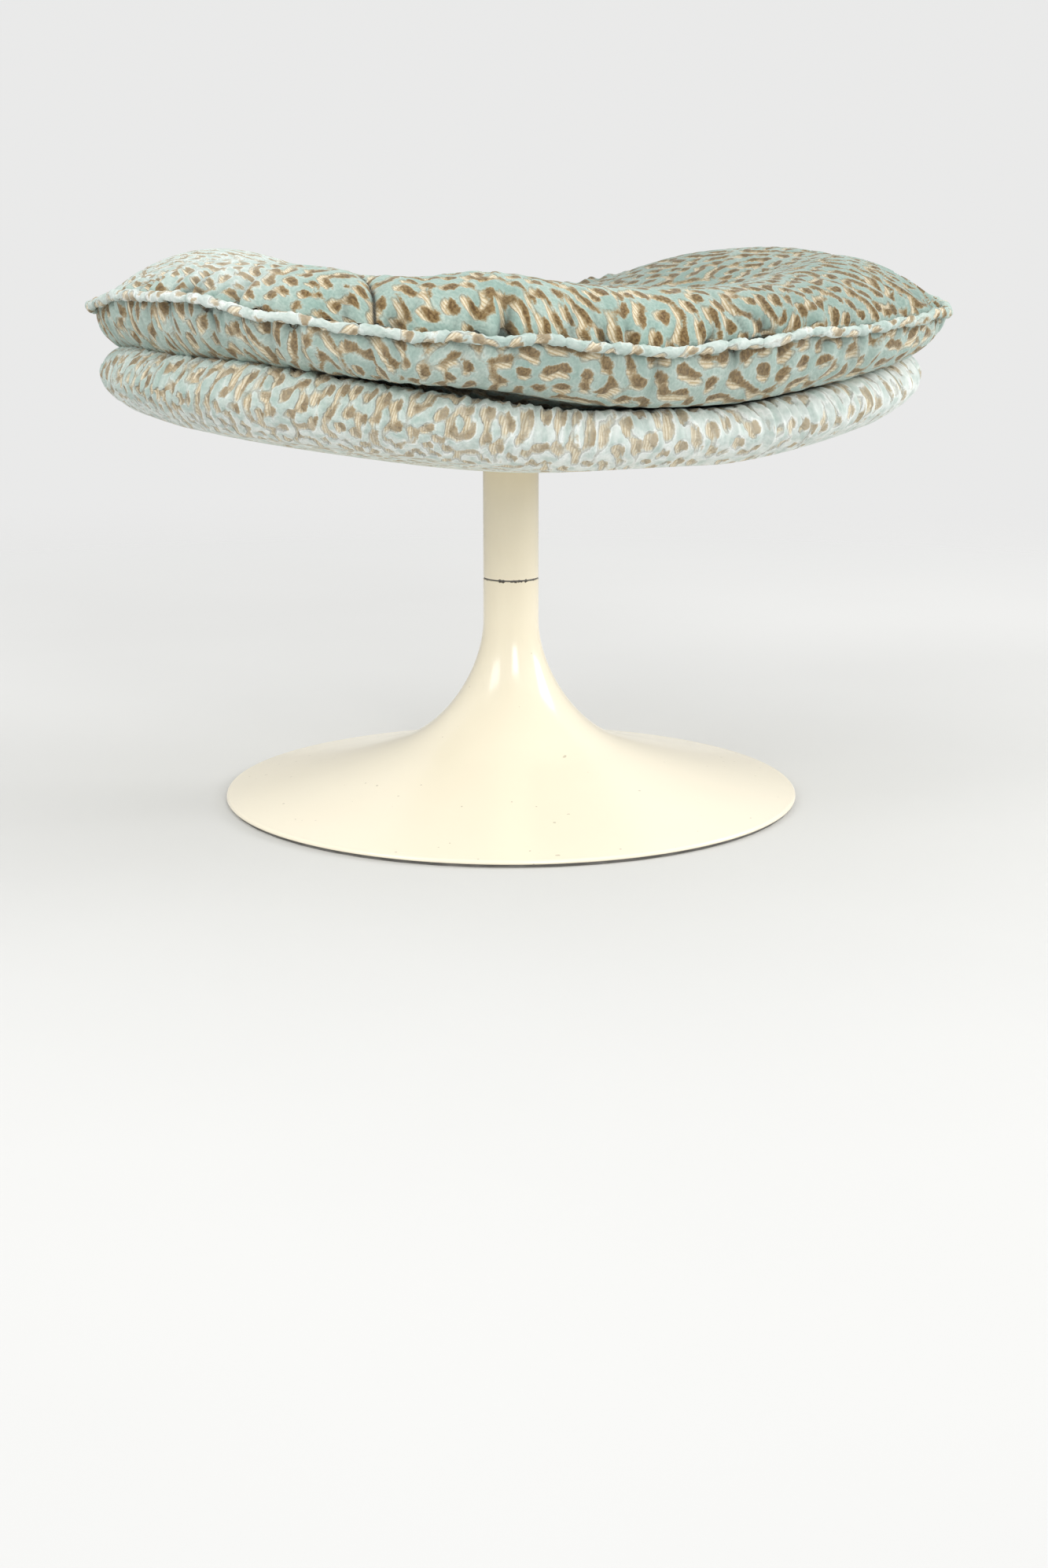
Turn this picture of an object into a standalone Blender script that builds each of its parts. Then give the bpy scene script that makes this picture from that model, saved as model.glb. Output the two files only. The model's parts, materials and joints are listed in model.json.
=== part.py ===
"""Swivel footstool: a dished upholstered shell and a corded cushion on a turned trumpet base.

Metres, +Z up. The origin lies on the floor, on the swivel axis, and +X runs along the seat's longer side.
"""

import math

import bmesh
import bpy
from mathutils import Vector

MM = 0.001

# Clearances
FIT = 0.3 * MM                    # between pieces that touch
CUSHION_REST = 0.8 * MM           # between the faceted cushion and the dish that it lies in

# Trumpet base
BASE_RADIUS = 200 * MM
BASE_WALL = 5 * MM
EDGE_HEIGHT = 2.6 * MM            # upright edge of the base's rim
EDGE_ROUND = 2 * MM
RIM_SLOPE = 0.20                  # fall of the skirt at the rim
KNEE_RADIUS = 80 * MM             # where the skirt turns up into the flare
KNEE_HEIGHT = 36 * MM
KNEE_SLOPE = 0.38
FLARE_PULL = 35 * MM              # how far the flare leans on its two end directions
FLARE_TOP = 125 * MM
NECK_RADIUS = 19.2 * MM
NECK_TOP = 153 * MM
NECK_CHAMFER = 0.6 * MM
WEB_TOP = 70 * MM                 # floor of the socket that takes the pivot post
WEB_THICKNESS = 8 * MM

# Floor ring
RING_HEIGHT = 2.2 * MM
RING_WIDTH = 11 * MM
RING_INSET = 2 * MM

# Swivel
POST_RADIUS = 10 * MM
POST_DROP = 28.5 * MM             # post's top below the plywood
POST_CHAMFER = 1 * MM
STUD_RADIUS = 6 * MM
STUD_TAIL = 3 * MM
BASE_WASHER_RADIUS = 18 * MM
BASE_WASHER_THICKNESS = 2.5 * MM
NUT_ACROSS_FLATS = 19 * MM
NUT_HEIGHT = 10 * MM
THRUST_THICKNESS = 1.2 * MM
THRUST_INSET = 0.5 * MM           # thrust washer's edge behind the stem's face
BUSH_SHARE = 0.33                 # each bush's share of the post inside the stem
RETAINER_RADIUS = 14 * MM
RETAINER_THICKNESS = 2 * MM
RETAINING_SCREW_RADIUS = 3 * MM
RETAINING_SCREW_LENGTH = 16 * MM
RETAINING_HEAD_RADIUS = 5.5 * MM
RETAINING_HEAD_HEIGHT = 4 * MM
TAPPED_SPARE = 2 * MM             # tapped hole past the screw's end
STEM_RADIUS = 19.1 * MM
STEM_WALL = 3.6 * MM

# Seat plate and its screws
PLATE_THICKNESS = 5 * MM
SCREW_COUNT = 4
SCREW_CIRCLE = 31 * MM
SCREW_RADIUS = 3 * MM
SCREW_HEAD_RADIUS = 6 * MM
SCREW_LENGTH = 13 * MM
TEE_BARREL_RADIUS = 4.6 * MM
TEE_BARREL_LENGTH = 8 * MM
TEE_FLANGE_RADIUS = 9 * MM
TEE_FLANGE_THICKNESS = 1.5 * MM

# Upholstered shell
SHELL_BASE = 243.5 * MM           # height of the plywood's underside at the middle
SHELL_HALF_LENGTH = 273 * MM
SHELL_HALF_WIDTH = 236 * MM
SHELL_SQUARENESS = 2.45           # exponent of the plan outline, 2 is an ellipse
DISH_FLAT = 45 * MM               # flat middle that sits on the seat plate
DISH_END_RISE = 46 * MM
DISH_SIDE_RISE = 18 * MM
DISH_POWER = 1.4
PLY_THICKNESS = 11 * MM
PLY_INSET = 18 * MM               # plywood edge behind the covered rim
FOAM_THICKNESS = 13 * MM
FOAM_LIP_INSET = 34 * MM          # inner edge of the foam that wraps under the rim
COVER_SEAM_INSET = 30 * MM        # seam between the two covers, under the rim
FABRIC = 2.5 * MM                 # velvet with its lining

# Cushion
CUSHION_END_INSET = 3 * MM        # cushion's seam behind the shell's ends
CUSHION_OVERHANG = 13 * MM        # and past the shell's sides
CUSHION_SQUARENESS = 2.7
CUSHION_CREST = 75 * MM           # height of the edge roll
CUSHION_CREST_INSET = 90 * MM
CUSHION_MIDDLE = 56 * MM          # height at the hollow middle
CUSHION_UNDERCUT = 45 * MM        # how far the underside draws in below the welt
WELT_HEIGHT = 31 * MM
WELT_RADIUS = 3.5 * MM

# Facets
BASE_STEPS = 48
SEAT_STEPS = 36
SMALL_STEPS = 24
SCREW_STEPS = 12
CURVE_STEPS = 7
ARC_STEPS = 5
EDGE_STEPS = 3
SHELL_RINGS = 5
CUSHION_RINGS = 5
WELT_SIDES = 8
SHARP_ANGLE = math.radians(40)
CUTTER_SPARE = 1 * MM             # cutters stand this far past the faces that they cut

# Sizes that follow from those above
CASTING_BOTTOM = RING_HEIGHT + FIT
WEB_BOTTOM = WEB_TOP - WEB_THICKNESS
POST_BOTTOM = WEB_TOP + FIT
BASE_WASHER_TOP = WEB_BOTTOM - FIT
NUT_TOP = BASE_WASHER_TOP - BASE_WASHER_THICKNESS - FIT
STUD_BOTTOM = NUT_TOP - NUT_HEIGHT - STUD_TAIL
THRUST_BOTTOM = NECK_TOP + FIT
STEM_BOTTOM = THRUST_BOTTOM + THRUST_THICKNESS + FIT
STEM_TOP = SHELL_BASE - FIT
POST_TOP = SHELL_BASE - POST_DROP
BUSH_LENGTH = BUSH_SHARE * (POST_TOP - STEM_BOTTOM)
RETAINER_BOTTOM = POST_TOP + FIT
RETAINER_TOP = RETAINER_BOTTOM + RETAINER_THICKNESS
STEM_BORE = STEM_RADIUS - STEM_WALL

# Layers of the shell, as heights above the plywood's underside
PLATE_TOP = -FIT
PLATE_BOTTOM = PLATE_TOP - PLATE_THICKNESS
UNDER_TOP = PLATE_BOTTOM - FIT
UNDER_BOTTOM = UNDER_TOP - FABRIC
FOAM_BOTTOM = PLY_THICKNESS + FIT
FOAM_TOP = FOAM_BOTTOM + FOAM_THICKNESS
COVER_BOTTOM = FOAM_TOP + FIT
COVER_TOP = COVER_BOTTOM + FABRIC
RIM_RADIUS = (COVER_TOP - UNDER_BOTTOM) / 2
RIM_MIDDLE = (COVER_TOP + UNDER_BOTTOM) / 2
RIM_CENTRE = SHELL_HALF_LENGTH - RIM_RADIUS
LIP_RADIUS = SHELL_HALF_LENGTH - FOAM_LIP_INSET
SEAM_RADIUS = SHELL_HALF_LENGTH - COVER_SEAM_INSET
PLY_EDGE_CENTRE = SHELL_HALF_LENGTH - PLY_INSET - PLY_THICKNESS / 2
CUSHION_HALF_LENGTH = SHELL_HALF_LENGTH - CUSHION_END_INSET
CUSHION_HALF_WIDTH = SHELL_HALF_WIDTH + CUSHION_OVERHANG


def clear_scene():
    for obj in list(bpy.data.objects):
        bpy.data.objects.remove(obj)


def new_collection(name):
    collection = bpy.data.collections.new(name)
    bpy.context.scene.collection.children.link(collection)
    return collection


def material(name, colour, roughness, metallic=0.0, sheen=0.0):
    made = bpy.data.materials.new(name)
    made.use_nodes = True
    shader = made.node_tree.nodes["Principled BSDF"]
    shader.inputs["Base Color"].default_value = (*colour, 1.0)
    shader.inputs["Roughness"].default_value = roughness
    shader.inputs["Metallic"].default_value = metallic
    shader.inputs["Sheen Weight"].default_value = sheen
    made.diffuse_color = (*colour, 1.0)
    return made


# Curves that profiles are made from

def bezier(start, start_pull, end_pull, end, steps):
    """Points of a cubic curve, without its start."""
    points = []
    for i in range(1, steps + 1):
        t = i / steps
        weights = ((1 - t) ** 3, 3 * t * (1 - t) ** 2, 3 * t * t * (1 - t), t ** 3)
        corners = (start, start_pull, end_pull, end)
        points.append(tuple(sum(w * c[k] for w, c in zip(weights, corners)) for k in (0, 1)))
    return points


def arc(centre, radii, start, end, steps):
    """Points of an elliptic arc, its angles in degrees and its radii outward and upward."""
    points = []
    for i in range(steps + 1):
        angle = math.radians(start + (end - start) * i / steps)
        points.append((centre[0] + radii[0] * math.cos(angle), centre[1] + radii[1] * math.sin(angle)))
    return points


def ring_profile(inner, outer, bottom, top):
    return [(inner, top), (outer, top), (outer, bottom), (inner, bottom)]


def offset_inward(points, distance):
    """The points moved square to their curve, towards the axis and the floor."""
    moved = []
    for before, point, after in zip(points, points[1:], points[2:]):
        along = Vector(after) - Vector(before)
        square = Vector((along.y, -along.x)).normalized()
        moved.append(tuple(Vector(point) + square * distance))
    return moved


def between_heights(points, low, high):
    """The stretch of a rising line of points between two heights, with an end on each."""
    kept = []
    for (r0, z0), (r1, z1) in zip(points, points[1:]):
        for height in (low, high):
            if z0 < height <= z1:
                kept.append((r0 + (r1 - r0) * (height - z0) / (z1 - z0), height))
        if low < z1 < high:
            kept.append((r1, z1))
    return kept


# Making objects

def spun_mesh(name, profile, steps):
    """Mesh of a profile of (radius, height) points turned about Z, closed where it ends off the axis."""
    edges = [(i, i + 1) for i in range(len(profile) - 1)]
    if profile[0][0] > 0 or profile[-1][0] > 0:
        edges.append((len(profile) - 1, 0))
    wire = bpy.data.meshes.new(name + "_profile")
    wire.from_pydata([(radius, 0, height) for radius, height in profile], edges, [])
    guide = bpy.data.objects.new(wire.name, wire)
    bpy.context.scene.collection.objects.link(guide)
    screw = guide.modifiers.new("turn", "SCREW")
    screw.steps = steps
    screw.render_steps = steps
    screw.use_merge_vertices = True
    screw.merge_threshold = 0.01 * MM
    graph = bpy.context.evaluated_depsgraph_get()
    mesh = bpy.data.meshes.new_from_object(guide.evaluated_get(graph))
    mesh.name = name
    bpy.data.objects.remove(guide)
    bpy.data.meshes.remove(wire)
    mesh.shade_smooth()
    mesh.set_sharp_from_angle(angle=SHARP_ANGLE)
    return mesh


def add_object(name, mesh, collection, finish=None, location=(0, 0, 0), parent=None):
    obj = bpy.data.objects.new(name, mesh)
    collection.objects.link(obj)
    obj.location = location
    if finish:
        mesh.materials.clear()
        mesh.materials.append(finish)
    if parent:
        obj.parent = parent
        obj.matrix_parent_inverse = parent.matrix_basis.inverted()
    return obj


def cut(obj, cutter):
    cutter.hide_render = True
    cutter.display_type = "WIRE"
    boolean = obj.modifiers.new("cut_" + cutter.name, "BOOLEAN")
    boolean.operation = "DIFFERENCE"
    boolean.object = cutter


# Form of the seat

def plan_point(radius, angle, half_length, half_width, squareness):
    """A radius measured along +X, spread to the plan's outline away from the round middle."""
    across = abs(math.cos(angle) / half_length) ** squareness
    across += abs(math.sin(angle) / half_width) ** squareness
    stretch = across ** (-1 / squareness) / half_length
    t = min(max((radius - DISH_FLAT) / (half_length - DISH_FLAT), 0), 1)
    reach = radius * (1 + (stretch - 1) * t * t * (3 - 2 * t))
    return reach * math.cos(angle), reach * math.sin(angle)


def rise(distance, half_size, full_rise):
    """Height and slope of the dish at a distance from its middle."""
    span = half_size - DISH_FLAT
    t = max((abs(distance) - DISH_FLAT) / span, 0)
    slope = full_rise * DISH_POWER * t ** (DISH_POWER - 1) / span
    return full_rise * t ** DISH_POWER, math.copysign(slope, distance)


def dish(x, y):
    """Point of the plywood's underside, and the direction square to it."""
    end_rise, end_slope = rise(x, SHELL_HALF_LENGTH, DISH_END_RISE)
    side_rise, side_slope = rise(y, SHELL_HALF_WIDTH, DISH_SIDE_RISE)
    square = Vector((-end_slope, -side_slope, 1)).normalized()
    return Vector((x, y, SHELL_BASE + end_rise + side_rise)), square


def shell_point(radius, angle, height):
    place, square = dish(*plan_point(radius, angle, SHELL_HALF_LENGTH, SHELL_HALF_WIDTH, SHELL_SQUARENESS))
    return place + square * height


def shell_top(x, y):
    """Height of the covered shell's upper face above a point of the floor."""
    place, square = dish(x, y)
    for _ in range(4):
        place, square = dish(x - COVER_TOP * square.x, y - COVER_TOP * square.y)
    return place.z + COVER_TOP * square.z


def cushion_point(radius, angle, height):
    x, y = plan_point(radius, angle, CUSHION_HALF_LENGTH, CUSHION_HALF_WIDTH, CUSHION_SQUARENESS)
    return Vector((x, y, shell_top(x, y) + CUSHION_REST + height))


def moulded_mesh(name, profile, form):
    """A turned mesh bent to the form of the shell or of the cushion."""
    mesh = spun_mesh(name, profile, SEAT_STEPS)
    shape = bmesh.new()
    shape.from_mesh(mesh)
    for vertex in shape.verts:
        x, y, height = vertex.co
        vertex.co = form(math.hypot(x, y), math.atan2(y, x), height)
    # Neighbouring layers split their bent quads along the same diagonals, so that they stay apart.
    bmesh.ops.triangulate(shape, faces=shape.faces[:], quad_method="SHORT_EDGE")
    shape.to_mesh(mesh)
    shape.free()
    return mesh


# Base and swivel

def base_outline():
    """The trumpet's outer face from the neck's top to the rim."""
    neck = (NECK_RADIUS, FLARE_TOP)
    neck_pull = (NECK_RADIUS, FLARE_TOP - FLARE_PULL)
    flare_pull = (KNEE_RADIUS - FLARE_PULL, KNEE_HEIGHT + KNEE_SLOPE * FLARE_PULL)
    knee = (KNEE_RADIUS, KNEE_HEIGHT)
    rim = (BASE_RADIUS - EDGE_ROUND, CASTING_BOTTOM + EDGE_HEIGHT)
    third = (rim[0] - knee[0]) / 3
    knee_pull = (knee[0] + third, knee[1] - KNEE_SLOPE * third)
    rim_pull = (rim[0] - third, rim[1] + RIM_SLOPE * third)
    flare = bezier(neck, neck_pull, flare_pull, knee, CURVE_STEPS)
    return [neck] + flare + bezier(knee, knee_pull, rim_pull, rim, CURVE_STEPS)


def base_profile():
    outline = base_outline()
    neck = [(NECK_RADIUS - NECK_CHAMFER, NECK_TOP), (NECK_RADIUS, NECK_TOP - NECK_CHAMFER)]
    edge_centre = (BASE_RADIUS - EDGE_ROUND, CASTING_BOTTOM + EDGE_HEIGHT - EDGE_ROUND)
    edge = arc(edge_centre, (EDGE_ROUND, EDGE_ROUND), 90, 0, EDGE_STEPS)[1:]
    inside = between_heights(offset_inward(outline, BASE_WALL)[::-1], CASTING_BOTTOM, WEB_BOTTOM)
    stud_hole = STUD_RADIUS + FIT
    socket = POST_RADIUS + FIT
    web = [(stud_hole, WEB_BOTTOM), (stud_hole, WEB_TOP), (socket, WEB_TOP), (socket, NECK_TOP)]
    return neck + outline + edge + [(BASE_RADIUS, CASTING_BOTTOM)] + inside + web


def post_profile():
    tapped = RETAINING_SCREW_RADIUS + FIT
    tapped_bottom = RETAINER_TOP - RETAINING_SCREW_LENGTH - TAPPED_SPARE
    journal = [(POST_RADIUS - POST_CHAMFER, POST_TOP), (POST_RADIUS, POST_TOP - POST_CHAMFER)]
    shoulder = [(POST_RADIUS, POST_BOTTOM), (STUD_RADIUS, POST_BOTTOM)]
    stud = [(STUD_RADIUS, STUD_BOTTOM), (0, STUD_BOTTOM)]
    return [(0, tapped_bottom), (tapped, tapped_bottom), (tapped, POST_TOP)] + journal + shoulder + stud


def retaining_screw_profile():
    head_bottom = RETAINER_TOP + FIT
    head_top = head_bottom + RETAINING_HEAD_HEIGHT
    tip = RETAINER_TOP - RETAINING_SCREW_LENGTH
    head = [(0, head_top), (RETAINING_HEAD_RADIUS, head_top), (RETAINING_HEAD_RADIUS, head_bottom)]
    return head + [(RETAINING_SCREW_RADIUS, head_bottom), (RETAINING_SCREW_RADIUS, tip), (0, tip)]


def make_base(parts, cutters, lacquer, plastic, steel):
    add_object("base_casting", spun_mesh("base_casting", base_profile(), BASE_STEPS), parts, lacquer)
    ring_outer = BASE_RADIUS - RING_INSET
    ring = ring_profile(ring_outer - RING_WIDTH, ring_outer, 0, RING_HEIGHT)
    add_object("floor_ring", spun_mesh("floor_ring", ring, BASE_STEPS), parts, plastic)
    add_object("pivot_post", spun_mesh("pivot_post", post_profile(), SMALL_STEPS), parts, steel)

    stud_hole = STUD_RADIUS + FIT
    washer = ring_profile(stud_hole, BASE_WASHER_RADIUS, -BASE_WASHER_THICKNESS, 0)
    washer_mesh = spun_mesh("base_washer", washer, SMALL_STEPS)
    add_object("base_washer", washer_mesh, parts, steel, (0, 0, BASE_WASHER_TOP))
    make_base_nut(parts, cutters, steel, stud_hole)

    thrust = ring_profile(POST_RADIUS + FIT, STEM_RADIUS - THRUST_INSET, 0, THRUST_THICKNESS)
    thrust_mesh = spun_mesh("thrust_washer", thrust, SMALL_STEPS)
    add_object("thrust_washer", thrust_mesh, parts, plastic, (0, 0, THRUST_BOTTOM))
    retainer = ring_profile(RETAINING_SCREW_RADIUS + FIT, RETAINER_RADIUS, 0, RETAINER_THICKNESS)
    retainer_mesh = spun_mesh("retaining_washer", retainer, SMALL_STEPS)
    add_object("retaining_washer", retainer_mesh, parts, steel, (0, 0, RETAINER_BOTTOM))
    screw_mesh = spun_mesh("retaining_screw", retaining_screw_profile(), SCREW_STEPS)
    add_object("retaining_screw", screw_mesh, parts, steel)


def make_base_nut(parts, cutters, steel, bore):
    shape = bmesh.new()
    corner = NUT_ACROSS_FLATS / math.sqrt(3)
    bmesh.ops.create_cone(
        shape, cap_ends=True, segments=6, radius1=corner, radius2=corner, depth=NUT_HEIGHT
    )
    mesh = bpy.data.meshes.new("base_nut")
    shape.to_mesh(mesh)
    shape.free()
    middle = (0, 0, NUT_TOP - NUT_HEIGHT / 2)
    nut = add_object("base_nut", mesh, parts, steel, middle)
    reach = NUT_HEIGHT / 2 + CUTTER_SPARE
    hole = [(0, reach), (bore, reach), (bore, -reach), (0, -reach)]
    cut(nut, add_object("nut_bore", spun_mesh("nut_bore", hole, SMALL_STEPS), cutters, location=middle))


def make_stem(parts, axis, lacquer, bearing):
    chamfer = NECK_CHAMFER
    stem = [(STEM_BORE, STEM_TOP), (STEM_RADIUS, STEM_TOP), (STEM_RADIUS, STEM_BOTTOM + chamfer)]
    stem += [(STEM_RADIUS - chamfer, STEM_BOTTOM), (STEM_BORE, STEM_BOTTOM)]
    add_object("upper_stem", spun_mesh("upper_stem", stem, BASE_STEPS), parts, lacquer, parent=axis)
    bush = ring_profile(POST_RADIUS + FIT, STEM_BORE - FIT, 0, BUSH_LENGTH)
    bottoms = {"lower_bush": STEM_BOTTOM + FIT, "upper_bush": POST_TOP - FIT - BUSH_LENGTH}
    for name, bottom in bottoms.items():
        add_object(name, spun_mesh(name, bush, SMALL_STEPS), parts, bearing, (0, 0, bottom), axis)


# Seat plate and fasteners

def screw_places():
    for i in range(SCREW_COUNT):
        angle = math.tau * (i + 0.5) / SCREW_COUNT
        yield i + 1, SCREW_CIRCLE * math.cos(angle), SCREW_CIRCLE * math.sin(angle)


def plate_screw_profile(gap, head_bottom, tip):
    """A countersunk screw, or with a gap the hole that takes it."""
    cone = SCREW_HEAD_RADIUS - SCREW_RADIUS
    shank = SCREW_RADIUS + gap
    head = SCREW_HEAD_RADIUS + gap
    countersink = [(shank, PLATE_BOTTOM + cone), (head, PLATE_BOTTOM)]
    return [(0, tip), (shank, tip)] + countersink + [(head, head_bottom), (0, head_bottom)]


def tee_nut_profile():
    top = PLY_THICKNESS
    shoulder = top - TEE_FLANGE_THICKNESS
    end = shoulder - TEE_BARREL_LENGTH
    bore = SCREW_RADIUS + FIT
    flange = [(bore, top), (TEE_FLANGE_RADIUS, top), (TEE_FLANGE_RADIUS, shoulder)]
    return flange + [(TEE_BARREL_RADIUS, shoulder), (TEE_BARREL_RADIUS, end), (bore, end)]


def tee_pocket_profile():
    """The stepped hole through the plywood that a tee nut sits in."""
    top = PLY_THICKNESS + CUTTER_SPARE
    shoulder = PLY_THICKNESS - TEE_FLANGE_THICKNESS - FIT
    flange = TEE_FLANGE_RADIUS + FIT
    barrel = TEE_BARREL_RADIUS + FIT
    bottom = -CUTTER_SPARE
    return [(0, top), (flange, top), (flange, shoulder), (barrel, shoulder), (barrel, bottom), (0, bottom)]


def make_seat_plate(parts, cutters, axis, steel):
    profile = ring_profile(STEM_RADIUS + FIT, DISH_FLAT - FIT, PLATE_BOTTOM, PLATE_TOP)
    base = (0, 0, SHELL_BASE)
    plate = add_object("seat_plate", spun_mesh("seat_plate", profile, BASE_STEPS), parts, steel, base, axis)
    screw = plate_screw_profile(0, PLATE_BOTTOM - FIT / 2, PLATE_BOTTOM + SCREW_LENGTH)
    hole = plate_screw_profile(FIT, PLATE_BOTTOM - CUTTER_SPARE, PLATE_TOP + CUTTER_SPARE)
    for number, x, y in screw_places():
        place = (x, y, SHELL_BASE)
        name = f"plate_screw_{number}"
        add_object(name, spun_mesh(name, screw, SCREW_STEPS), parts, steel, place, axis)
        name = f"plate_hole_{number}"
        cut(plate, add_object(name, spun_mesh(name, hole, SCREW_STEPS), cutters, location=place))


def make_tee_nuts(parts, cutters, axis, steel, panel):
    for number, x, y in screw_places():
        place = (x, y, SHELL_BASE)
        name = f"tee_nut_{number}"
        add_object(name, spun_mesh(name, tee_nut_profile(), SCREW_STEPS), parts, steel, place, axis)
        name = f"tee_pocket_{number}"
        pocket = spun_mesh(name, tee_pocket_profile(), SCREW_STEPS)
        cut(panel, add_object(name, pocket, cutters, location=place))


# Shell

def across_shell(height, last=LIP_RADIUS):
    """Profile points along one layer, from the flat middle's edge outward."""
    step = (LIP_RADIUS - DISH_FLAT) / SHELL_RINGS
    points = [(DISH_FLAT + step * i, height) for i in range(SHELL_RINGS)]
    return points + [(last, height)]


def rim_arc(depth, start, end):
    """The rim's round at a depth below its outer face."""
    radius = RIM_RADIUS - depth
    return arc((RIM_CENTRE, RIM_MIDDLE), (radius, radius), start, end, ARC_STEPS)


def ply_edge(gap, start, end):
    radius = PLY_THICKNESS / 2 + gap
    return arc((PLY_EDGE_CENTRE, PLY_THICKNESS / 2), (radius, radius), start, end, EDGE_STEPS)


def panel_profile():
    top = [(0, PLY_THICKNESS)] + across_shell(PLY_THICKNESS)
    return top + ply_edge(0, 90, -90) + across_shell(0)[::-1] + [(0, 0)]


def foam_profile():
    outside = [(0, FOAM_TOP)] + across_shell(FOAM_TOP) + rim_arc(FABRIC + FIT, 90, -90)
    lip = [(LIP_RADIUS, PLATE_BOTTOM), (LIP_RADIUS, PLATE_TOP)]
    return outside + lip + ply_edge(FIT, -90, 90) + across_shell(FOAM_BOTTOM)[::-1] + [(0, FOAM_BOTTOM)]


def cover_profile():
    outside = [(0, COVER_TOP)] + across_shell(COVER_TOP) + rim_arc(0, 90, -90)
    seam = [(SEAM_RADIUS, UNDER_BOTTOM), (SEAM_RADIUS, UNDER_TOP)]
    return outside + seam + rim_arc(FABRIC, -90, 90) + across_shell(COVER_BOTTOM)[::-1] + [(0, COVER_BOTTOM)]


def under_cover_profile():
    hole = STEM_RADIUS + FIT
    edge = SEAM_RADIUS - FIT
    top = [(hole, UNDER_TOP)] + across_shell(UNDER_TOP) + [(edge, UNDER_TOP)]
    return top + [(edge, UNDER_BOTTOM)] + across_shell(UNDER_BOTTOM)[::-1] + [(hole, UNDER_BOTTOM)]


def wadding_profile():
    edge = LIP_RADIUS - FIT
    return across_shell(PLATE_TOP, edge) + across_shell(PLATE_BOTTOM, edge)[::-1]


def make_shell(parts, cutters, axis, finishes):
    layers = {
        "shell_panel": (panel_profile(), finishes["plywood"]),
        "shell_foam": (foam_profile(), finishes["foam"]),
        "shell_cover": (cover_profile(), finishes["velvet"]),
        "underside_wadding": (wadding_profile(), finishes["wadding"]),
        "shell_under_cover": (under_cover_profile(), finishes["velvet"]),
    }
    for name, (profile, finish) in layers.items():
        layer = add_object(name, moulded_mesh(name, profile, shell_point), parts, finish, parent=axis)
        if name == "shell_panel":
            make_tee_nuts(parts, cutters, axis, finishes["steel"], layer)


# Cushion

def cushion_crown(depth):
    """The cushion's upper face at a depth under its skin, from the middle to the welt."""
    crest = CUSHION_HALF_LENGTH - CUSHION_CREST_INSET
    points = []
    for i in range(CUSHION_RINGS):
        swell = (1 - math.cos(math.pi * i / CUSHION_RINGS)) / 2
        height = CUSHION_MIDDLE + (CUSHION_CREST - CUSHION_MIDDLE) * swell
        points.append((crest * i / CUSHION_RINGS, height - depth))
    radii = (CUSHION_CREST_INSET - depth, CUSHION_CREST - WELT_HEIGHT - depth)
    return points + arc((crest, WELT_HEIGHT), radii, 90, 0, ARC_STEPS)


def cushion_belly(depth):
    """The cushion's underside at a depth above its skin, from the welt to the middle."""
    contact = CUSHION_HALF_LENGTH - CUSHION_UNDERCUT
    radii = (CUSHION_UNDERCUT - depth, WELT_HEIGHT - depth)
    points = arc((contact, WELT_HEIGHT), radii, 0, -90, ARC_STEPS)
    return points + [(contact * i / CUSHION_RINGS, depth) for i in reversed(range(CUSHION_RINGS))]


def lowered(points, drop):
    """The points with the last one lifted or lowered, to leave half a gap at the welt's seam."""
    return points[:-1] + [(points[-1][0], points[-1][1] + drop)]


def make_cushion(parts, axis, velvet, fill):
    skin = FABRIC + FIT
    core = cushion_crown(skin) + cushion_belly(skin)[1:]
    top_panel = lowered(cushion_crown(0), FIT / 2) + lowered(cushion_crown(FABRIC), FIT / 2)[::-1]
    bottom_inside = lowered(cushion_belly(FABRIC)[::-1], -FIT / 2)
    bottom_outside = lowered(cushion_belly(0)[::-1], -FIT / 2)[::-1]
    welt_centre = (CUSHION_HALF_LENGTH + FIT + WELT_RADIUS, WELT_HEIGHT)
    welt = arc(welt_centre, (WELT_RADIUS, WELT_RADIUS), 180, -180, WELT_SIDES)[:-1]
    pieces = {
        "cushion_core": (core, fill),
        "cushion_top_panel": (top_panel, velvet),
        "cushion_bottom_panel": (bottom_inside + bottom_outside, velvet),
        "cushion_welt": (welt, velvet),
    }
    for name, (profile, finish) in pieces.items():
        add_object(name, moulded_mesh(name, profile, cushion_point), parts, finish, parent=axis)


def main():
    clear_scene()
    parts = new_collection("footstool")
    cutters = new_collection("cutters")
    axis = bpy.data.objects.new("swivel_axis", None)
    axis.location = (0, 0, NECK_TOP)
    parts.objects.link(axis)

    lacquer = material("ivory_lacquer", (0.91, 0.85, 0.69), 0.28)
    plastic = material("grey_plastic", (0.20, 0.20, 0.19), 0.55)
    bearing = material("bronze_bearing", (0.55, 0.38, 0.18), 0.35, 1.0)
    finishes = {
        "steel": material("zinc_steel", (0.55, 0.55, 0.55), 0.35, 1.0),
        "plywood": material("plywood", (0.60, 0.42, 0.24), 0.6),
        "foam": material("foam", (0.85, 0.78, 0.55), 0.9),
        "wadding": material("wadding", (0.85, 0.85, 0.82), 0.95),
        "velvet": material("aqua_velvet", (0.36, 0.50, 0.46), 0.85, sheen=0.6),
        "fill": material("cushion_fill", (0.88, 0.86, 0.80), 0.95),
    }
    make_base(parts, cutters, lacquer, plastic, finishes["steel"])
    make_stem(parts, axis, lacquer, bearing)
    make_seat_plate(parts, cutters, axis, finishes["steel"])
    make_shell(parts, cutters, axis, finishes)
    make_cushion(parts, axis, finishes["velvet"], finishes["fill"])


main()
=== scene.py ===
"""Looks of the swivel footstool: cut velvet seat and corded cushion over an ivory trumpet base."""

import json
import math

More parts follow.
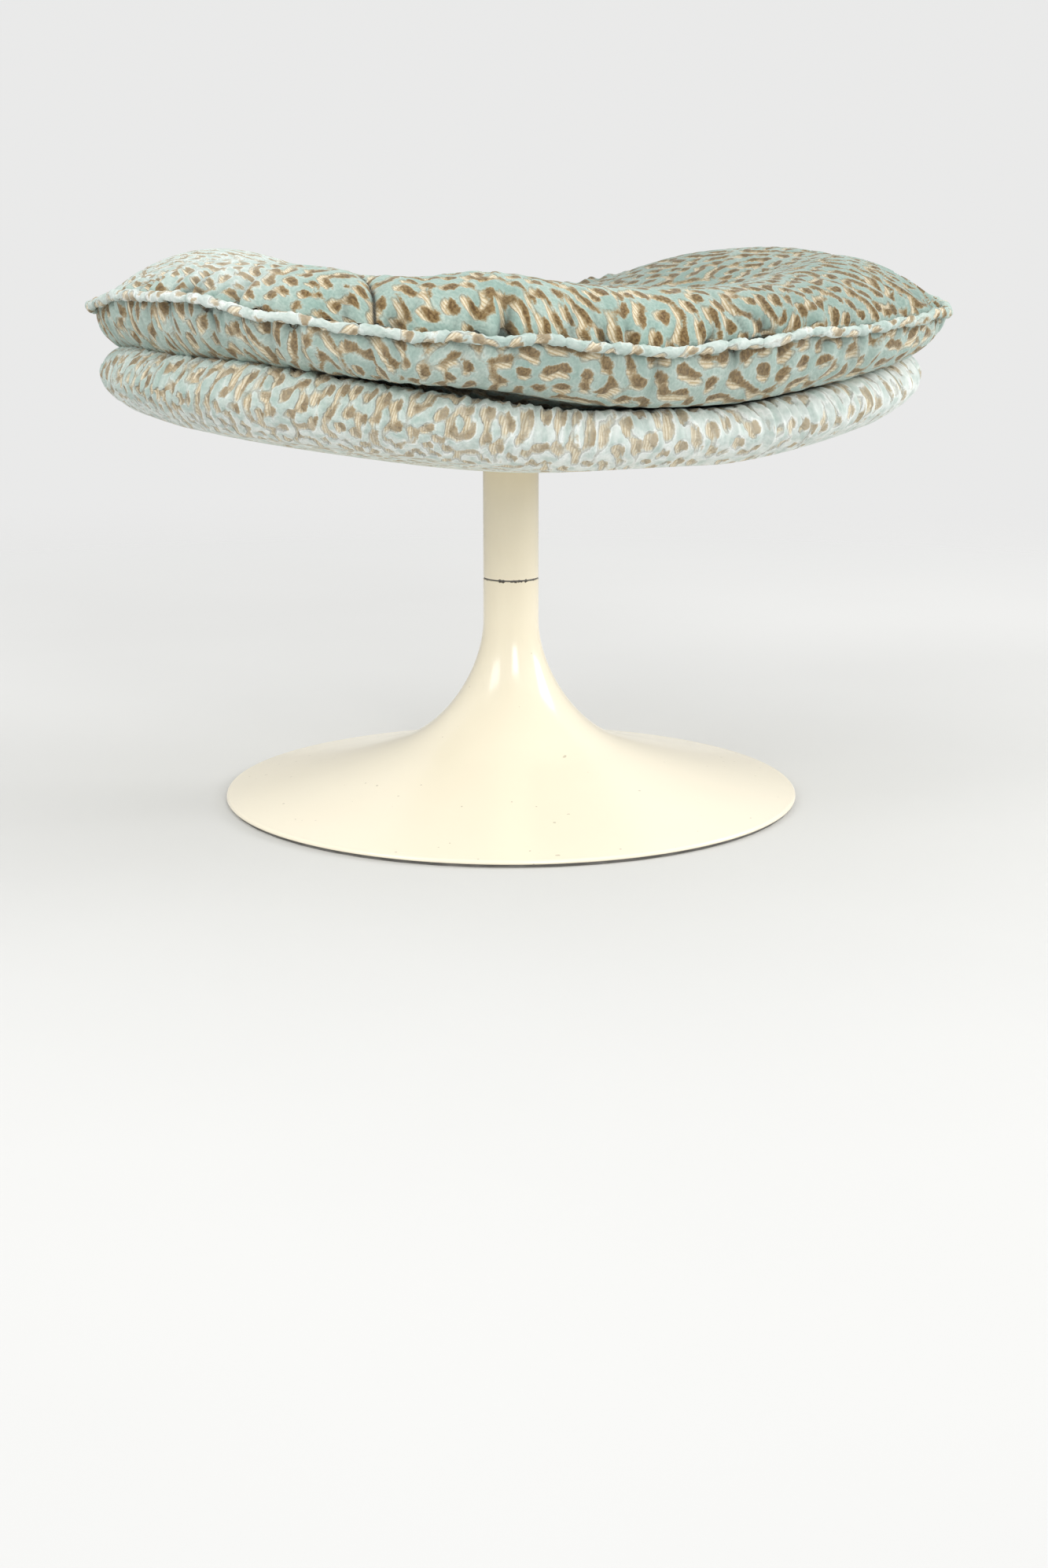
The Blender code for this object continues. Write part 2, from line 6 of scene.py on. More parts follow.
import bpy
import numpy as np
from mathutils import Euler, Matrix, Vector


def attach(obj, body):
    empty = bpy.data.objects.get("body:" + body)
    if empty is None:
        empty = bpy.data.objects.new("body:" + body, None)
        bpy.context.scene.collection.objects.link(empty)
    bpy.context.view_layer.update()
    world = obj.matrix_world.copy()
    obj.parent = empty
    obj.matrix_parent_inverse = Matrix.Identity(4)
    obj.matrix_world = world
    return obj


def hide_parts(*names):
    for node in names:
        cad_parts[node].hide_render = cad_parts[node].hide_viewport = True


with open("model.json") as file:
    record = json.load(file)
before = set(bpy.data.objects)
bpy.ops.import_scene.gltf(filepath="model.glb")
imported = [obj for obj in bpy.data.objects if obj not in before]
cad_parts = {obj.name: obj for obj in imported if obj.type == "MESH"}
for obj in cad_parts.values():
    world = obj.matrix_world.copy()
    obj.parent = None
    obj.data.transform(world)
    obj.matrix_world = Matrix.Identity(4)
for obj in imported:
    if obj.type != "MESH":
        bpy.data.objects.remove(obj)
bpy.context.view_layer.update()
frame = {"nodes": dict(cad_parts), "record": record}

MM = 0.001
TURN = 2 * math.pi

# Sizes of the CAD source
BASE_RADIUS = 200 * MM
BASE_WALL = 5 * MM
EDGE_HEIGHT = 2.6 * MM
EDGE_ROUND = 2 * MM
RIM_SLOPE = 0.20
KNEE_RADIUS = 80 * MM
KNEE_HEIGHT = 36 * MM
KNEE_SLOPE = 0.38
FLARE_PULL = 35 * MM
FLARE_TOP = 125 * MM
NECK_RADIUS = 19.2 * MM
NECK_TOP = 153 * MM
WEB_TOP = 70 * MM
WEB_BOTTOM = 62 * MM
SOCKET_RADIUS = 10.3 * MM
STUD_HOLE = 6.3 * MM
CASTING_BOTTOM = 2.5 * MM
STEM_RADIUS = 19.1 * MM
STEM_BORE = 15.5 * MM
STEM_BOTTOM = 154.8 * MM
STEM_TOP = 243.2 * MM
SHELL_BASE = 243.5 * MM
SHELL_HALF_LENGTH = 273 * MM
SHELL_HALF_WIDTH = 236 * MM
SHELL_SQUARENESS = 2.45
DISH_FLAT = 45 * MM
DISH_END_RISE = 46 * MM
DISH_SIDE_RISE = 18 * MM
DISH_POWER = 1.4
FABRIC = 2.5 * MM
COVER_TOP = 27.1 * MM
UNDER_BOTTOM = -8.1 * MM
RIM_RADIUS = 17.6 * MM
RIM_MIDDLE = 9.5 * MM
SEAM_RADIUS = 243 * MM
CUSHION_REST = 0.8 * MM
CUSHION_HALF_LENGTH = 270 * MM
CUSHION_HALF_WIDTH = 249 * MM
CUSHION_SQUARENESS = 2.7
CUSHION_CREST = 75 * MM
CUSHION_CREST_INSET = 90 * MM
CUSHION_MIDDLE = 56 * MM
CUSHION_UNDERCUT = 45 * MM
WELT_HEIGHT = 31 * MM
WELT_RADIUS = 3.4 * MM
CUSHION_FLOOR = SHELL_BASE + COVER_TOP + CUSHION_REST
CUSHION_CONTACT = CUSHION_HALF_LENGTH - CUSHION_UNDERCUT

# Camera, as fitted to the two round bases of the photograph
CAMERA_PLACE = (-0.6699, -1.5269, 0.4111)
CAMERA_PITCH = math.radians(76.348)
CAMERA_TURN = math.radians(-24)
CAMERA_LENS = 55.69

# Velvet
CLOTH_SIDE = 0.64  # repeat of the cloth's fields
CLOTH_CELLS = 640
MARK_ACROSS = 10.4 * MM  # waves of the print across and along the cloth
MARK_ALONG = 16.8 * MM
MARK_LEVEL = 0.655
GROUND_LEVEL = 0.64
GROUND_SHIFT = (3.1 * MM, -1.4 * MM)
PILE = 1.3 * MM
RIB = 1.85 * MM  # pitch of the ribs in the flat ground

# Seeds of the random draws
CLOTH_SEED = 5
TOP_SEED = 21
BOTTOM_SEED = 33
WELT_SEED = 9
RIM_SEED = 14
UNDER_SEED = 17

# Tucks that start at each seam: count, depth, width and reach
TOP_TUCKS = (105, 5.0 * MM, 2.8 * MM, 62 * MM)
BOTTOM_TUCKS = (100, 4.6 * MM, 2.8 * MM, 52 * MM)
RIM_TUCKS = (130, 1.0 * MM, 2.8 * MM, 45 * MM)
RIM_SEAM_TUCKS = (90, 1.2 * MM, 2.0 * MM, 40 * MM)
UNDER_TUCKS = (100, 1.2 * MM, 2.0 * MM, 60 * MM)

# Waves of the loop noises: how many are summed, and the fewest and most per turn
SLOW_WAVES = (8, 4, 11)
PUFF_WAVES = (30, 60, 130)
RIM_PUFF_WAVES = (40, 110, 270)
FILL_WAVES = (10, 3, 9)
WELT_DRIFT_WAVES = (16, 12, 40)
WELT_SWELL_WAVES = (20, 50, 130)
WELT_SHEEN_WAVES = (8, 2, 7)

# Places round the seat, in degrees of its plan
LEFT_END = 197
LEFT_GATHERS = 195
LEFT_CORD = 200
FRONT_BELLY = 240
SHEEN_SIDE = -38
PLAIN_SIDE = -50


# Numbers

def smooth(t):
    t = np.clip(t, 0, 1)
    return t * t * (3 - 2 * t)


def path_lengths(x, y):
    """Length along a line of points up to each of them."""
    return np.append(0, np.cumsum(np.hypot(np.diff(x), np.diff(y))))


def wrapped(difference, period):
    """A difference of places on a loop, by the shorter way."""
    return (difference + period / 2) % period - period / 2


def beside(angle, place, spread):
    """1 at a place round the seat and less beside it, with the place and the spread in degrees."""
    return np.exp(-(wrapped(np.degrees(angle) - place, 360) / spread) ** 2)


def facing(angle, place, low, span):
    """From 0 to 1 as the outline turns towards a place round the seat, given in degrees."""
    return smooth((np.cos(angle - math.radians(place)) - low) / span)


# Fields of the cloth, which repeat every CLOTH_SIDE

def filtered(field, across, along, spread):
    """A field's waves of about one length across the cloth and another along it."""
    k = np.fft.fftfreq(CLOTH_CELLS, CLOTH_SIDE / CLOTH_CELLS)
    ku, kv = np.meshgrid(k, k, indexing="ij")
    keep = np.exp(-((np.hypot(ku * across, kv * along) - 1) / spread) ** 2 / 2)
    field = np.fft.ifft2(np.fft.fft2(field) * keep).real
    return field / field.std()


def ring_field(rng, across, along, spread):
    return filtered(rng.standard_normal((CLOTH_CELLS, CLOTH_CELLS)), across, along, spread)


def stroke_field(rng, across, along):
    """Strokes of even width with round ends: noise that is hardened and filtered by turns."""
    start = ring_field(rng, across, along, 0.45)
    field = start
    for _ in range(5):
        field = filtered(np.tanh(1.5 * (field - 0.10)) + 0.45 * start, across, along, 0.28)
    return field


def sampled(field, u, v):
    """Values of a field between its cells."""
    a, b = u / CLOTH_SIDE * CLOTH_CELLS, v / CLOTH_SIDE * CLOTH_CELLS
    i, j = np.floor(a).astype(int), np.floor(b).astype(int)
    s, t = a - i, b - j
    i, j = i % CLOTH_CELLS, j % CLOTH_CELLS
    next_i, next_j = (i + 1) % CLOTH_CELLS, (j + 1) % CLOTH_CELLS
    near = field[i, j] * (1 - s) + field[next_i, j] * s
    far = field[i, next_j] * (1 - s) + field[next_i, next_j] * s
    return near * (1 - t) + far * t


cloth_rng = np.random.default_rng(CLOTH_SEED)
marks = stroke_field(cloth_rng, MARK_ACROSS, MARK_ALONG)
mottle = ring_field(cloth_rng, 24 * MM, 30 * MM, 0.4)
ragged = ring_field(cloth_rng, 4.4 * MM, 5.6 * MM, 0.4)
brushed = ring_field(cloth_rng, 80 * MM, 110 * MM, 0.5)


def velvet_fields(u, v):
    """Level of the brown pile, of the flat cream ground and of the nap's lay at points of the cloth."""
    brown = sampled(marks, u, v) + 0.22 * sampled(ragged, u, v) - MARK_LEVEL
    ground = sampled(marks, u + GROUND_SHIFT[0], v + GROUND_SHIFT[1]) - GROUND_LEVEL
    ground += 0.50 * sampled(mottle, u, v) + 0.10 * sampled(ragged, u + 0.1, v)
    return brown, ground, sampled(brushed, u, v)


def blended_fields(first, second, share):
    """Fields that pass from one lay of the cloth to another, with marks as strong as in either."""
    size = np.hypot(1 - share, share)
    near, far = (1 - share) / size, share / size
    brown, ground = (
        (a + level) * near + (b + level) * far - level
        for a, b, level in zip(first, second, (MARK_LEVEL, GROUND_LEVEL))
    )
    return brown, ground, first[2]


def pile_height(brown, ground):
    """Height of the cut pile over the woven ground."""
    pile = smooth((brown + 0.45) / 0.8)
    bare = smooth((ground + 0.45) / 0.8) * (1 - pile)
    return PILE * (1 - bare - 0.15 * pile)


def loop_noise(rng, count, low, high):
    """Smooth noise round a loop, as a function of the turn from 0 to 1."""
    waves = rng.integers(low, high + 1, count)
    phases = rng.uniform(0, TURN, count)
    sizes = rng.uniform(0.5, 1, count)
    sizes /= math.sqrt((sizes ** 2).sum() / 2)

    def value(turn):
        return sum(s * np.sin(TURN * w * turn + p) for w, p, s in zip(waves, phases, sizes))
    return value


# Form of the seat, as in the CAD source

def plan(radius, angle, half_length, half_width, squareness):
    """Point of a plan that is round in the middle and passes to a rounded oblong at its edge."""
    across = np.abs(np.cos(angle) / half_length) ** squareness
    across = across + np.abs(np.sin(angle) / half_width) ** squareness
    stretch = across ** (-1 / squareness) / half_length
    reach = radius * (1 + (stretch - 1) * smooth((radius - DISH_FLAT) / (half_length - DISH_FLAT)))
    return reach * np.cos(angle), reach * np.sin(angle)


def rise(distance, half_size, full_rise):
    """Rise of the dish and its slope at a distance from its middle."""
    span = half_size - DISH_FLAT
    t = np.maximum((np.abs(distance) - DISH_FLAT) / span, 0)
    slope = full_rise * DISH_POWER * t ** (DISH_POWER - 1) / span
    return full_rise * t ** DISH_POWER, np.copysign(slope, distance)


def dish(x, y):
    """Height of the plywood's underside, and the direction square to it."""
    end_rise, end_slope = rise(x, SHELL_HALF_LENGTH, DISH_END_RISE)
    side_rise, side_slope = rise(y, SHELL_HALF_WIDTH, DISH_SIDE_RISE)
    length = np.sqrt(1 + end_slope ** 2 + side_slope ** 2)
    return SHELL_BASE + end_rise + side_rise, -end_slope / length, -side_slope / length, 1 / length


def shell_row(radius, angle, height):
    """A ring of points at one radius of the shell, at heights square to its dish."""
    radius = np.full_like(angle, radius)
    x, y = plan(radius, angle, SHELL_HALF_LENGTH, SHELL_HALF_WIDTH, SHELL_SQUARENESS)
    z, nx, ny, nz = dish(x, y)
    return np.stack([x + nx * height, y + ny * height, z + nz * height], -1)


def shell_top(x, y):
    """Height of the shell's upper face over a point of the plan."""
    z, nx, ny, nz = dish(x, y)
    for _ in range(4):
        z, nx, ny, nz = dish(x - COVER_TOP * nx, y - COVER_TOP * ny)
    return z + COVER_TOP * nz


# Meshes

def ring_quads(rows, columns, closed):
    """Quads between neighbouring rings, and from the last to the first where they close."""
    i = np.arange(rows if closed else rows - 1)[:, None]
    j = np.arange(columns)[None, :]
    row, next_row = i * columns, (i + 1) % rows * columns
    next_j = (j + 1) % columns
    quads = np.stack([row + j, row + next_j, next_row + next_j, next_row + j], -1)
    return quads.reshape(-1, 4).tolist()


def fan(pole, first, columns, flip):
    """Triangles from a pole to the ring that starts at a vertex."""
    ring = [first + j for j in range(columns)]
    around = zip(ring, ring[1:] + ring[:1])
    return [(pole, b, a) if flip else (pole, a, b) for a, b in around]


def add_object(name, data):
    obj = bpy.data.objects.new(name, data)
    bpy.context.scene.collection.objects.link(obj)
    return obj


def add_mesh(name, points, faces):
    mesh = bpy.data.meshes.new(name)
    mesh.from_pydata(points.tolist(), [], faces)
    mesh.validate()
    mesh.shade_smooth()
    return add_object(name, mesh)


def attribute(obj, name, values, kind="FLOAT"):
    made = obj.data.attributes.new(name, kind, "POINT")
    key = "value" if kind == "FLOAT" else "vector"
    made.data.foreach_set(key, np.asarray(values, np.float32).ravel())


def dress(obj, points, u, v, lift, painted_sheen_and_shade, pile=1.0, fold_shade=0.0, rare=0.0, barer=0.0, other=None):
    """Lifts a velvet piece's vertices by its folds and pile, and keeps the cloth's fields, its painted sheen
    and shade and its painted fold shade for the shader.

    Rare and barer shift the levels of the brown pile and of the flat ground, and other is a second lay of
    the cloth with its share."""
    brown, ground, lay = velvet_fields(u, v)
    if other is not None:
        brown, ground, lay = blended_fields((brown, ground, lay), velvet_fields(*other[:2]), other[2])
    brown, ground = brown - rare, ground - rare + barer
    normals = np.zeros(points.size, np.float32)
    obj.data.vertex_normals.foreach_get("vector", normals)
    height = lift + pile * (pile_height(brown, ground) - PILE)
    moved = points + normals.reshape(-1, 3).astype(float) * height[:, None]
    obj.data.vertices.foreach_set("co", moved.astype(np.float32).ravel())
    obj.data.update()
    fields = {"brown": brown, "ground": ground, "lay": lay, "painted_sheen_and_shade": painted_sheen_and_shade, "fold_shade": fold_shade}
    for name, values in fields.items():
        attribute(obj, name, np.broadcast_to(values, u.shape))
    attribute(obj, "cloth", np.stack([u, v, np.zeros_like(u)], -1), "FLOAT_VECTOR")


# Folds

def creases(rng, tucks, around, inward, length):
    """Depth of sharp tucks that start at a seam, and how deep in a fold each point is, from 0 to 1, which
    sets the painted shade of the folds.

    Around is the place on the seam's loop of that length, and inward the way from the seam."""
    around, inward = np.broadcast_arrays(around, inward)
    count, depth, width, reach = tucks
    pressed, fold_shade = np.zeros_like(inward), np.zeros_like(inward)
    for _ in range(count):
        place = rng.uniform(0, length)
        lean = rng.normal(0, 0.35)
        share = rng.uniform(0.35, 1.0) ** 1.5
        wide = width * rng.uniform(0.6, 1.6)
        far = reach * rng.uniform(0.35, 1.0)
        bend = rng.normal(0, 6)
        near = inward < far
        offset = wrapped(around[near] - place - lean * inward[near] - bend * inward[near] ** 2, length)
        along = 1 - smooth(inward[near] / far)
        pressed[near] += depth * share * along * np.exp(-np.abs(offset) / wide)
        fold_shade[near] += share * along * np.exp(-np.abs(offset) / (0.6 * wide))
    return pressed, np.clip(fold_shade, 0, 1)


ANGLES_FINE = np.linspace(0, TURN, 4001)


def around_table(half_length, half_width, squareness):
    """Place on a plan's outline for an angle, as a function, and the outline's length."""
    x, y = plan(half_length, ANGLES_FINE, half_length, half_width, squareness)
    places = path_lengths(x, y)

    def place(angle):
        return np.interp(angle % TURN, ANGLES_FINE, places)
    return place, places[-1]


cushion_place, CUSHION_ROUND = around_table(CUSHION_HALF_LENGTH, CUSHION_HALF_WIDTH, CUSHION_SQUARENESS)
shell_place, SHELL_ROUND = around_table(SHELL_HALF_LENGTH, SHELL_HALF_WIDTH, SHELL_SQUARENESS)


def even_places(place, length, count):
    """Angles, places and turns of points that are evenly spaced along an outline."""
    angles = ANGLES_FINE[:-1]
    angle = np.interp(np.arange(count) / count * length, place(angles), angles)
    return angle, place(angle), place(angle) / length


# The welt's lift and reach beyond an even seam in mm, by angle round the seat in degrees
WELT_WANDER = (
    (0, -3, 0), (30, -2, 0), (60, 0, 0), (90, 0, 0), (120, -1, 0), (140, -5, -1), (152, -10, -3),
    (160, -11, -3), (168, -6, -2), (177, 0, -1), (193, 4, 0), (205, 2.5, 0), (213, -2, 0), (226, -4, 0),
    (232, -7, 0), (240, 0, 0), (246, 3, 0), (257, 4, 0), (267, -1.5, 0), (275, 2, 0), (282, 5, 0),
    (291, 2.5, 0), (303, -2.5, 0), (312, -6, 0), (325, -12, 2), (336, -9, 2), (348, -5, 0),
)
WELT_SMOOTHING = 3.0  # degrees


def wander(angle):
    """Lift and reach of the welt at an angle, smoothed over a few degrees."""
    degrees = np.arange(0, 360, 0.5)
    table = np.array(WELT_WANDER, float)
    blur = np.exp(-(np.fft.fftfreq(len(degrees), 0.5) * TURN * WELT_SMOOTHING) ** 2 / 2)
    found = []
    for column in (1, 2):
        values = np.interp(degrees, table[:, 0], table[:, column], period=360)
        values = np.fft.ifft(np.fft.fft(values) * blur).real * MM
        found.append(np.interp(np.degrees(angle) % 360, degrees, values, period=360))
    return found


def cushion_plan(radius, angle):
    """Plan of the cushion, whose corners reach a little further than an even outline."""
    _, reach = wander(angle)
    share = smooth((radius - 0.15) / (CUSHION_HALF_LENGTH - 0.15))
    x, y = plan(radius, angle, CUSHION_HALF_LENGTH, CUSHION_HALF_WIDTH, CUSHION_SQUARENESS)
    grow = 1 + share * reach / CUSHION_HALF_LENGTH
    return x * grow, y * grow


# Rings of the faces that close the two halves of the cushion, and their way from the seam's level
TOP_CLOSING = (0.97, 0.8, 0.5, 0.2)
BOTTOM_CLOSING = (0.97, 0.75, 0.4, 0.1)
SEAM_GAP = 1.5 * MM


def closing_row(share, angle, gap):
    """A ring of the face that closes a half of the cushion, with that gap over the seam's level."""
    x, y = cushion_plan(share * CUSHION_HALF_LENGTH, angle)
    level = WELT_HEIGHT + gap + wander(angle)[0] * (1 - smooth((1 - share) / 0.3))
    return np.stack([x, y, shell_top(x, y) + CUSHION_REST + level], -1)


# Cushion top

def crown_height(radius, angle):
    """Height of the cushion's upper face over the shell, leaner towards the seam at the two ends."""
    crest = CUSHION_HALF_LENGTH - CUSHION_CREST_INSET
    swell = (1 - np.cos(math.pi * np.clip(radius / crest, 0, 1))) / 2
    inside = CUSHION_MIDDLE + (CUSHION_CREST - CUSHION_MIDDLE) * swell
    q = np.clip((radius - crest) / CUSHION_CREST_INSET, 0, 1)
    power = 0.44 + 0.36 * np.abs(np.cos(angle)) ** 3
    for corner, lean in ((325, 0.30), (155, 0.14)):
        power = power + lean * beside(angle, corner, 18)
    outside = WELT_HEIGHT + (CUSHION_CREST - WELT_HEIGHT) * (1 - q ** 2) ** power
    return np.where(radius < crest, inside, outside)


# Dents and swells of the fill in mm: place x and y, spread in x and y, and height
LUMPS = (
    (70, 165, 95, 75, -16),
    (0, 0, 110, 90, -6),
    (150, 190, 50, 60, -12),
    (-130, 155, 40, 50, 6),
    (-134, -158, 20, 35, -6),
    (-165, -150, 30, 60, -2),
    (-90, -185, 60, 50, 5),
    (205, 90, 45, 60, 6),
    (205, -30, 50, 60, 4),
    (120, -40, 50, 50, -9),
)


def lumps(x, y):
    total = np.zeros_like(x)
    for px, py, sx, sy, height in np.array(LUMPS) * MM:
        total += height * np.exp(-((x - px) / sx) ** 2 / 2 - ((y - py) / sy) ** 2 / 2)
    return total


def crown_lengths(share, angle, angles=180, samples=600):
    """Radius at a share of the way along the crown's profile, that way, and the whole profile's length."""
    steps = np.linspace(0, CUSHION_HALF_LENGTH, samples)
    tables = []
    for k in range(angles + 1):
        at = k / angles * TURN
        tables.append(path_lengths(np.hypot(*cushion_plan(steps, at)), crown_height(steps, at)))
    tables = np.array(tables)
    place = angle % TURN / TURN * angles
    index = np.minimum(np.floor(place).astype(int), angles - 1)
    blend = place - index
    whole = tables[index, -1] * (1 - blend) + tables[index + 1, -1] * blend
    radius = np.zeros_like(share)
    for k in range(angles):
        at = index == k
        low = np.interp(share[at] * tables[k, -1], tables[k], steps)
        high = np.interp(share[at] * tables[k + 1, -1], tables[k + 1], steps)
        radius[at] = low * (1 - blend[at]) + high * blend[at]
    return radius, share * whole, whole


def square_to_disc(count):
    """A square grid bent to a disc: the share of its radius and the angle of each point."""
    side = np.linspace(-1, 1, count)
    a, b = np.meshgrid(side, side, indexing="ij")
    wide = np.abs(a) >= np.abs(b)
    safe_a, safe_b = np.where(a == 0, 1, a), np.where(b == 0, 1, b)
    angle = np.where(wide, math.pi / 4 * b / safe_a, math.pi / 2 - math.pi / 4 * a / safe_b)
    share = np.where(wide, a, b)
    return np.abs(share).ravel(), np.where(share < 0, angle + math.pi, angle).ravel()


def border(count):
    """Vertices round the edge of a square grid, anticlockwise."""
    last = count - 1
    ring = [(i, 0) for i in range(last)] + [(last, j) for j in range(last)]
    ring += [(i, last) for i in range(last, 0, -1)] + [(0, j) for j in range(last, 0, -1)]
    return [i * count + j for i, j in ring]


def turned(u, v, angle):
    return u * math.cos(angle) - v * math.sin(angle), u * math.sin(angle) + v * math.cos(angle)


def make_cushion_top(count=290):
    """The cushion's upper panel: a square grid bent to the plan, closed by a face just over the seam."""
    share, angle = square_to_disc(count)
    radius, along, whole = crown_lengths(share, angle)
    x, y = cushion_plan(radius, angle)
    inward = whole - along
    z = shell_top(x, y) + CUSHION_REST + crown_height(radius, angle)
    z += lumps(x, y) * smooth(inward / 0.05) + wander(angle)[0] * (1 - smooth(inward / 0.09))
    points = np.stack([x, y, z], -1)

    i, j = np.meshgrid(np.arange(count - 1), np.arange(count - 1), indexing="ij")
    corner = (i * count + j).ravel()
    faces = np.stack([corner, corner + count, corner + count + 1, corner + 1], -1).tolist()

    ring = border(count)
    width, last = len(ring), len(points)
    inner = [closing_row(s, angle[ring], SEAM_GAP) for s in TOP_CLOSING]
    pole = np.array([[0, 0, CUSHION_FLOOR + WELT_HEIGHT + SEAM_GAP]])
    for _ in inner:
        next_ring = range(last, last + width)
        faces += [(ring[a], ring[a - 1], next_ring[a - 1], next_ring[a]) for a in range(width)]
        ring, last = next_ring, last + width
    faces += fan(last, last - width, width, True)
    points = np.concatenate([points] + inner + [pole])
    obj = add_mesh("cushion_top", points, faces)

    # Tucks and puffs at the seam, the corner fold, and slow waves of the fill
    rng = np.random.default_rng(TOP_SEED)
    around = cushion_place(angle)
    turn = around / CUSHION_ROUND
    fold, fold_shade = creases(rng, TOP_TUCKS, around, inward, CUSHION_ROUND)
    deepest = TOP_TUCKS[1]
    fold = -deepest * np.tanh(fold / deepest)
    fold += 1.7 * MM * loop_noise(rng, *PUFF_WAVES)(turn) * np.exp(-inward / 0.030)
    deep, off, open_fold = corner_crease(x, y)
    fold -= deep
    # Painted shade along the seam next to the welt
    fold_shade = np.maximum(fold_shade, 0.7 * np.exp(-inward / (2 * MM)))
    wave = loop_noise(rng, *FILL_WAVES)(turn)
    fold += 1.6 * MM * wave * smooth(inward / 0.03) * smooth((0.16 - inward) / 0.1)

    # The print, with painted sheen and sparser marks on the left hump and painted shade towards the right and
    # back, with a denser lay towards the ends
    stretch = along / np.maximum(np.hypot(x, y), 1e-6)
    u, v = turned(1.04 * x * stretch, 0.80 * y * stretch, math.radians(-5))
    leftward = 0.41 * y - 0.91 * x
    hump_sheen_and_print = smooth((leftward - 0.10) / 0.07)
    # Painted sheen near the seam and on the left hump; painted shade towards the right and the back
    painted_sheen_and_shade = 0.08 * smooth(1 - inward / 0.02) + 0.56 * hump_sheen_and_print * smooth(inward / 0.025)
    painted_sheen_and_shade -= 0.05 + (0.17 + 0.16 * smooth((y - 0.02) / 0.10)) * smooth((x + 0.02) / 0.12)
    gathered = smooth((np.abs(leftward + 0.03) - 0.08) / 0.08)
    u, v, fold, painted_sheen_and_shade, fold_shade, hump_sheen_and_print, gathered, off, open_fold = (
        np.pad(values, (0, len(points) - len(x)))
        for values in (u, v, fold, painted_sheen_and_shade, fold_shade, hump_sheen_and_print, gathered, off, open_fold)
    )
    other = (1.16 * u + 0.2, 1.16 * v + 0.1, gathered)
    barer = 0.06 - 0.36 * hump_sheen_and_print
    dress(obj, points, u, v, fold, painted_sheen_and_shade, fold_shade=fold_shade, rare=0.06 * hump_sheen_and_print, barer=barer, other=other)
    attribute(obj, "crease_off", off / MM)
    attribute(obj, "crease_open", open_fold)
    return obj


def corner_crease(x, y):
    """The deep fold at the front left corner: its depth, the way off its line, and how open it is."""
    start, end = np.array([-0.182, -0.221]), np.array([-0.153, -0.128])
    way = end - start
    size = np.hypot(*way)
    way /= size
    dx, dy = x - start[0], y - start[1]
    along = (dx * way[0] + dy * way[1]) / size
    off = dx * -way[1] + dy * way[0] + 2.5 * MM * np.sin(along * 5)
    open_fold = smooth((along + 0.3) / 0.2) * smooth((1.1 - along) / 0.6)
    core = np.exp(-np.abs(off) / (1.8 * MM))
    return open_fold * (6 * MM * core + 3.5 * MM * np.exp(-(off / (9 * MM)) ** 2)), off, open_fold


# Rings of a piece made of closed rows

def ring_piece(name, rows, poles=(), closed=False, flip=False):
    """An object from rows of points, with a pole at both ends or closed on itself, and its points.

    Flip turns the faces round, where the order of the rows would make them point inwards."""
    count, columns = rows.shape[:2]
    points = rows.reshape(-1, 3)
    faces = ring_quads(count, columns, closed)
    if poles:
        faces += fan(len(points), 0, columns, True)
        faces += fan(len(points) + 1, (count - 1) * columns, columns, False)
        points = np.concatenate([points, np.array(poles)])
    if flip:
        faces = [face[::-1] for face in faces]
    return add_mesh(name, points, faces), points


def spaced(*runs):
    """Values in runs of (start, end, count), each run without its end, and the last value."""
    parts = [np.linspace(a, b, n, endpoint=False) for a, b, n in runs]
    return np.append(np.concatenate(parts), runs[-1][1])


# Cushion bottom

def belly(length):
    """Radius and height of the cushion's underside at a length from its seam, and the length of its round."""
    t = np.linspace(0, 1, 400)
    r = CUSHION_CONTACT + CUSHION_UNDERCUT * np.cos(t * math.pi / 2) ** 0.74
    h = WELT_HEIGHT - WELT_HEIGHT * np.sin(t * math.pi / 2)
    table = path_lengths(r, h)
    arc = table[-1]
    radius = np.where(length < arc, np.interp(length, table, r), CUSHION_CONTACT - (length - arc))
    return radius, np.where(length < arc, np.interp(length, table, h), 0), arc


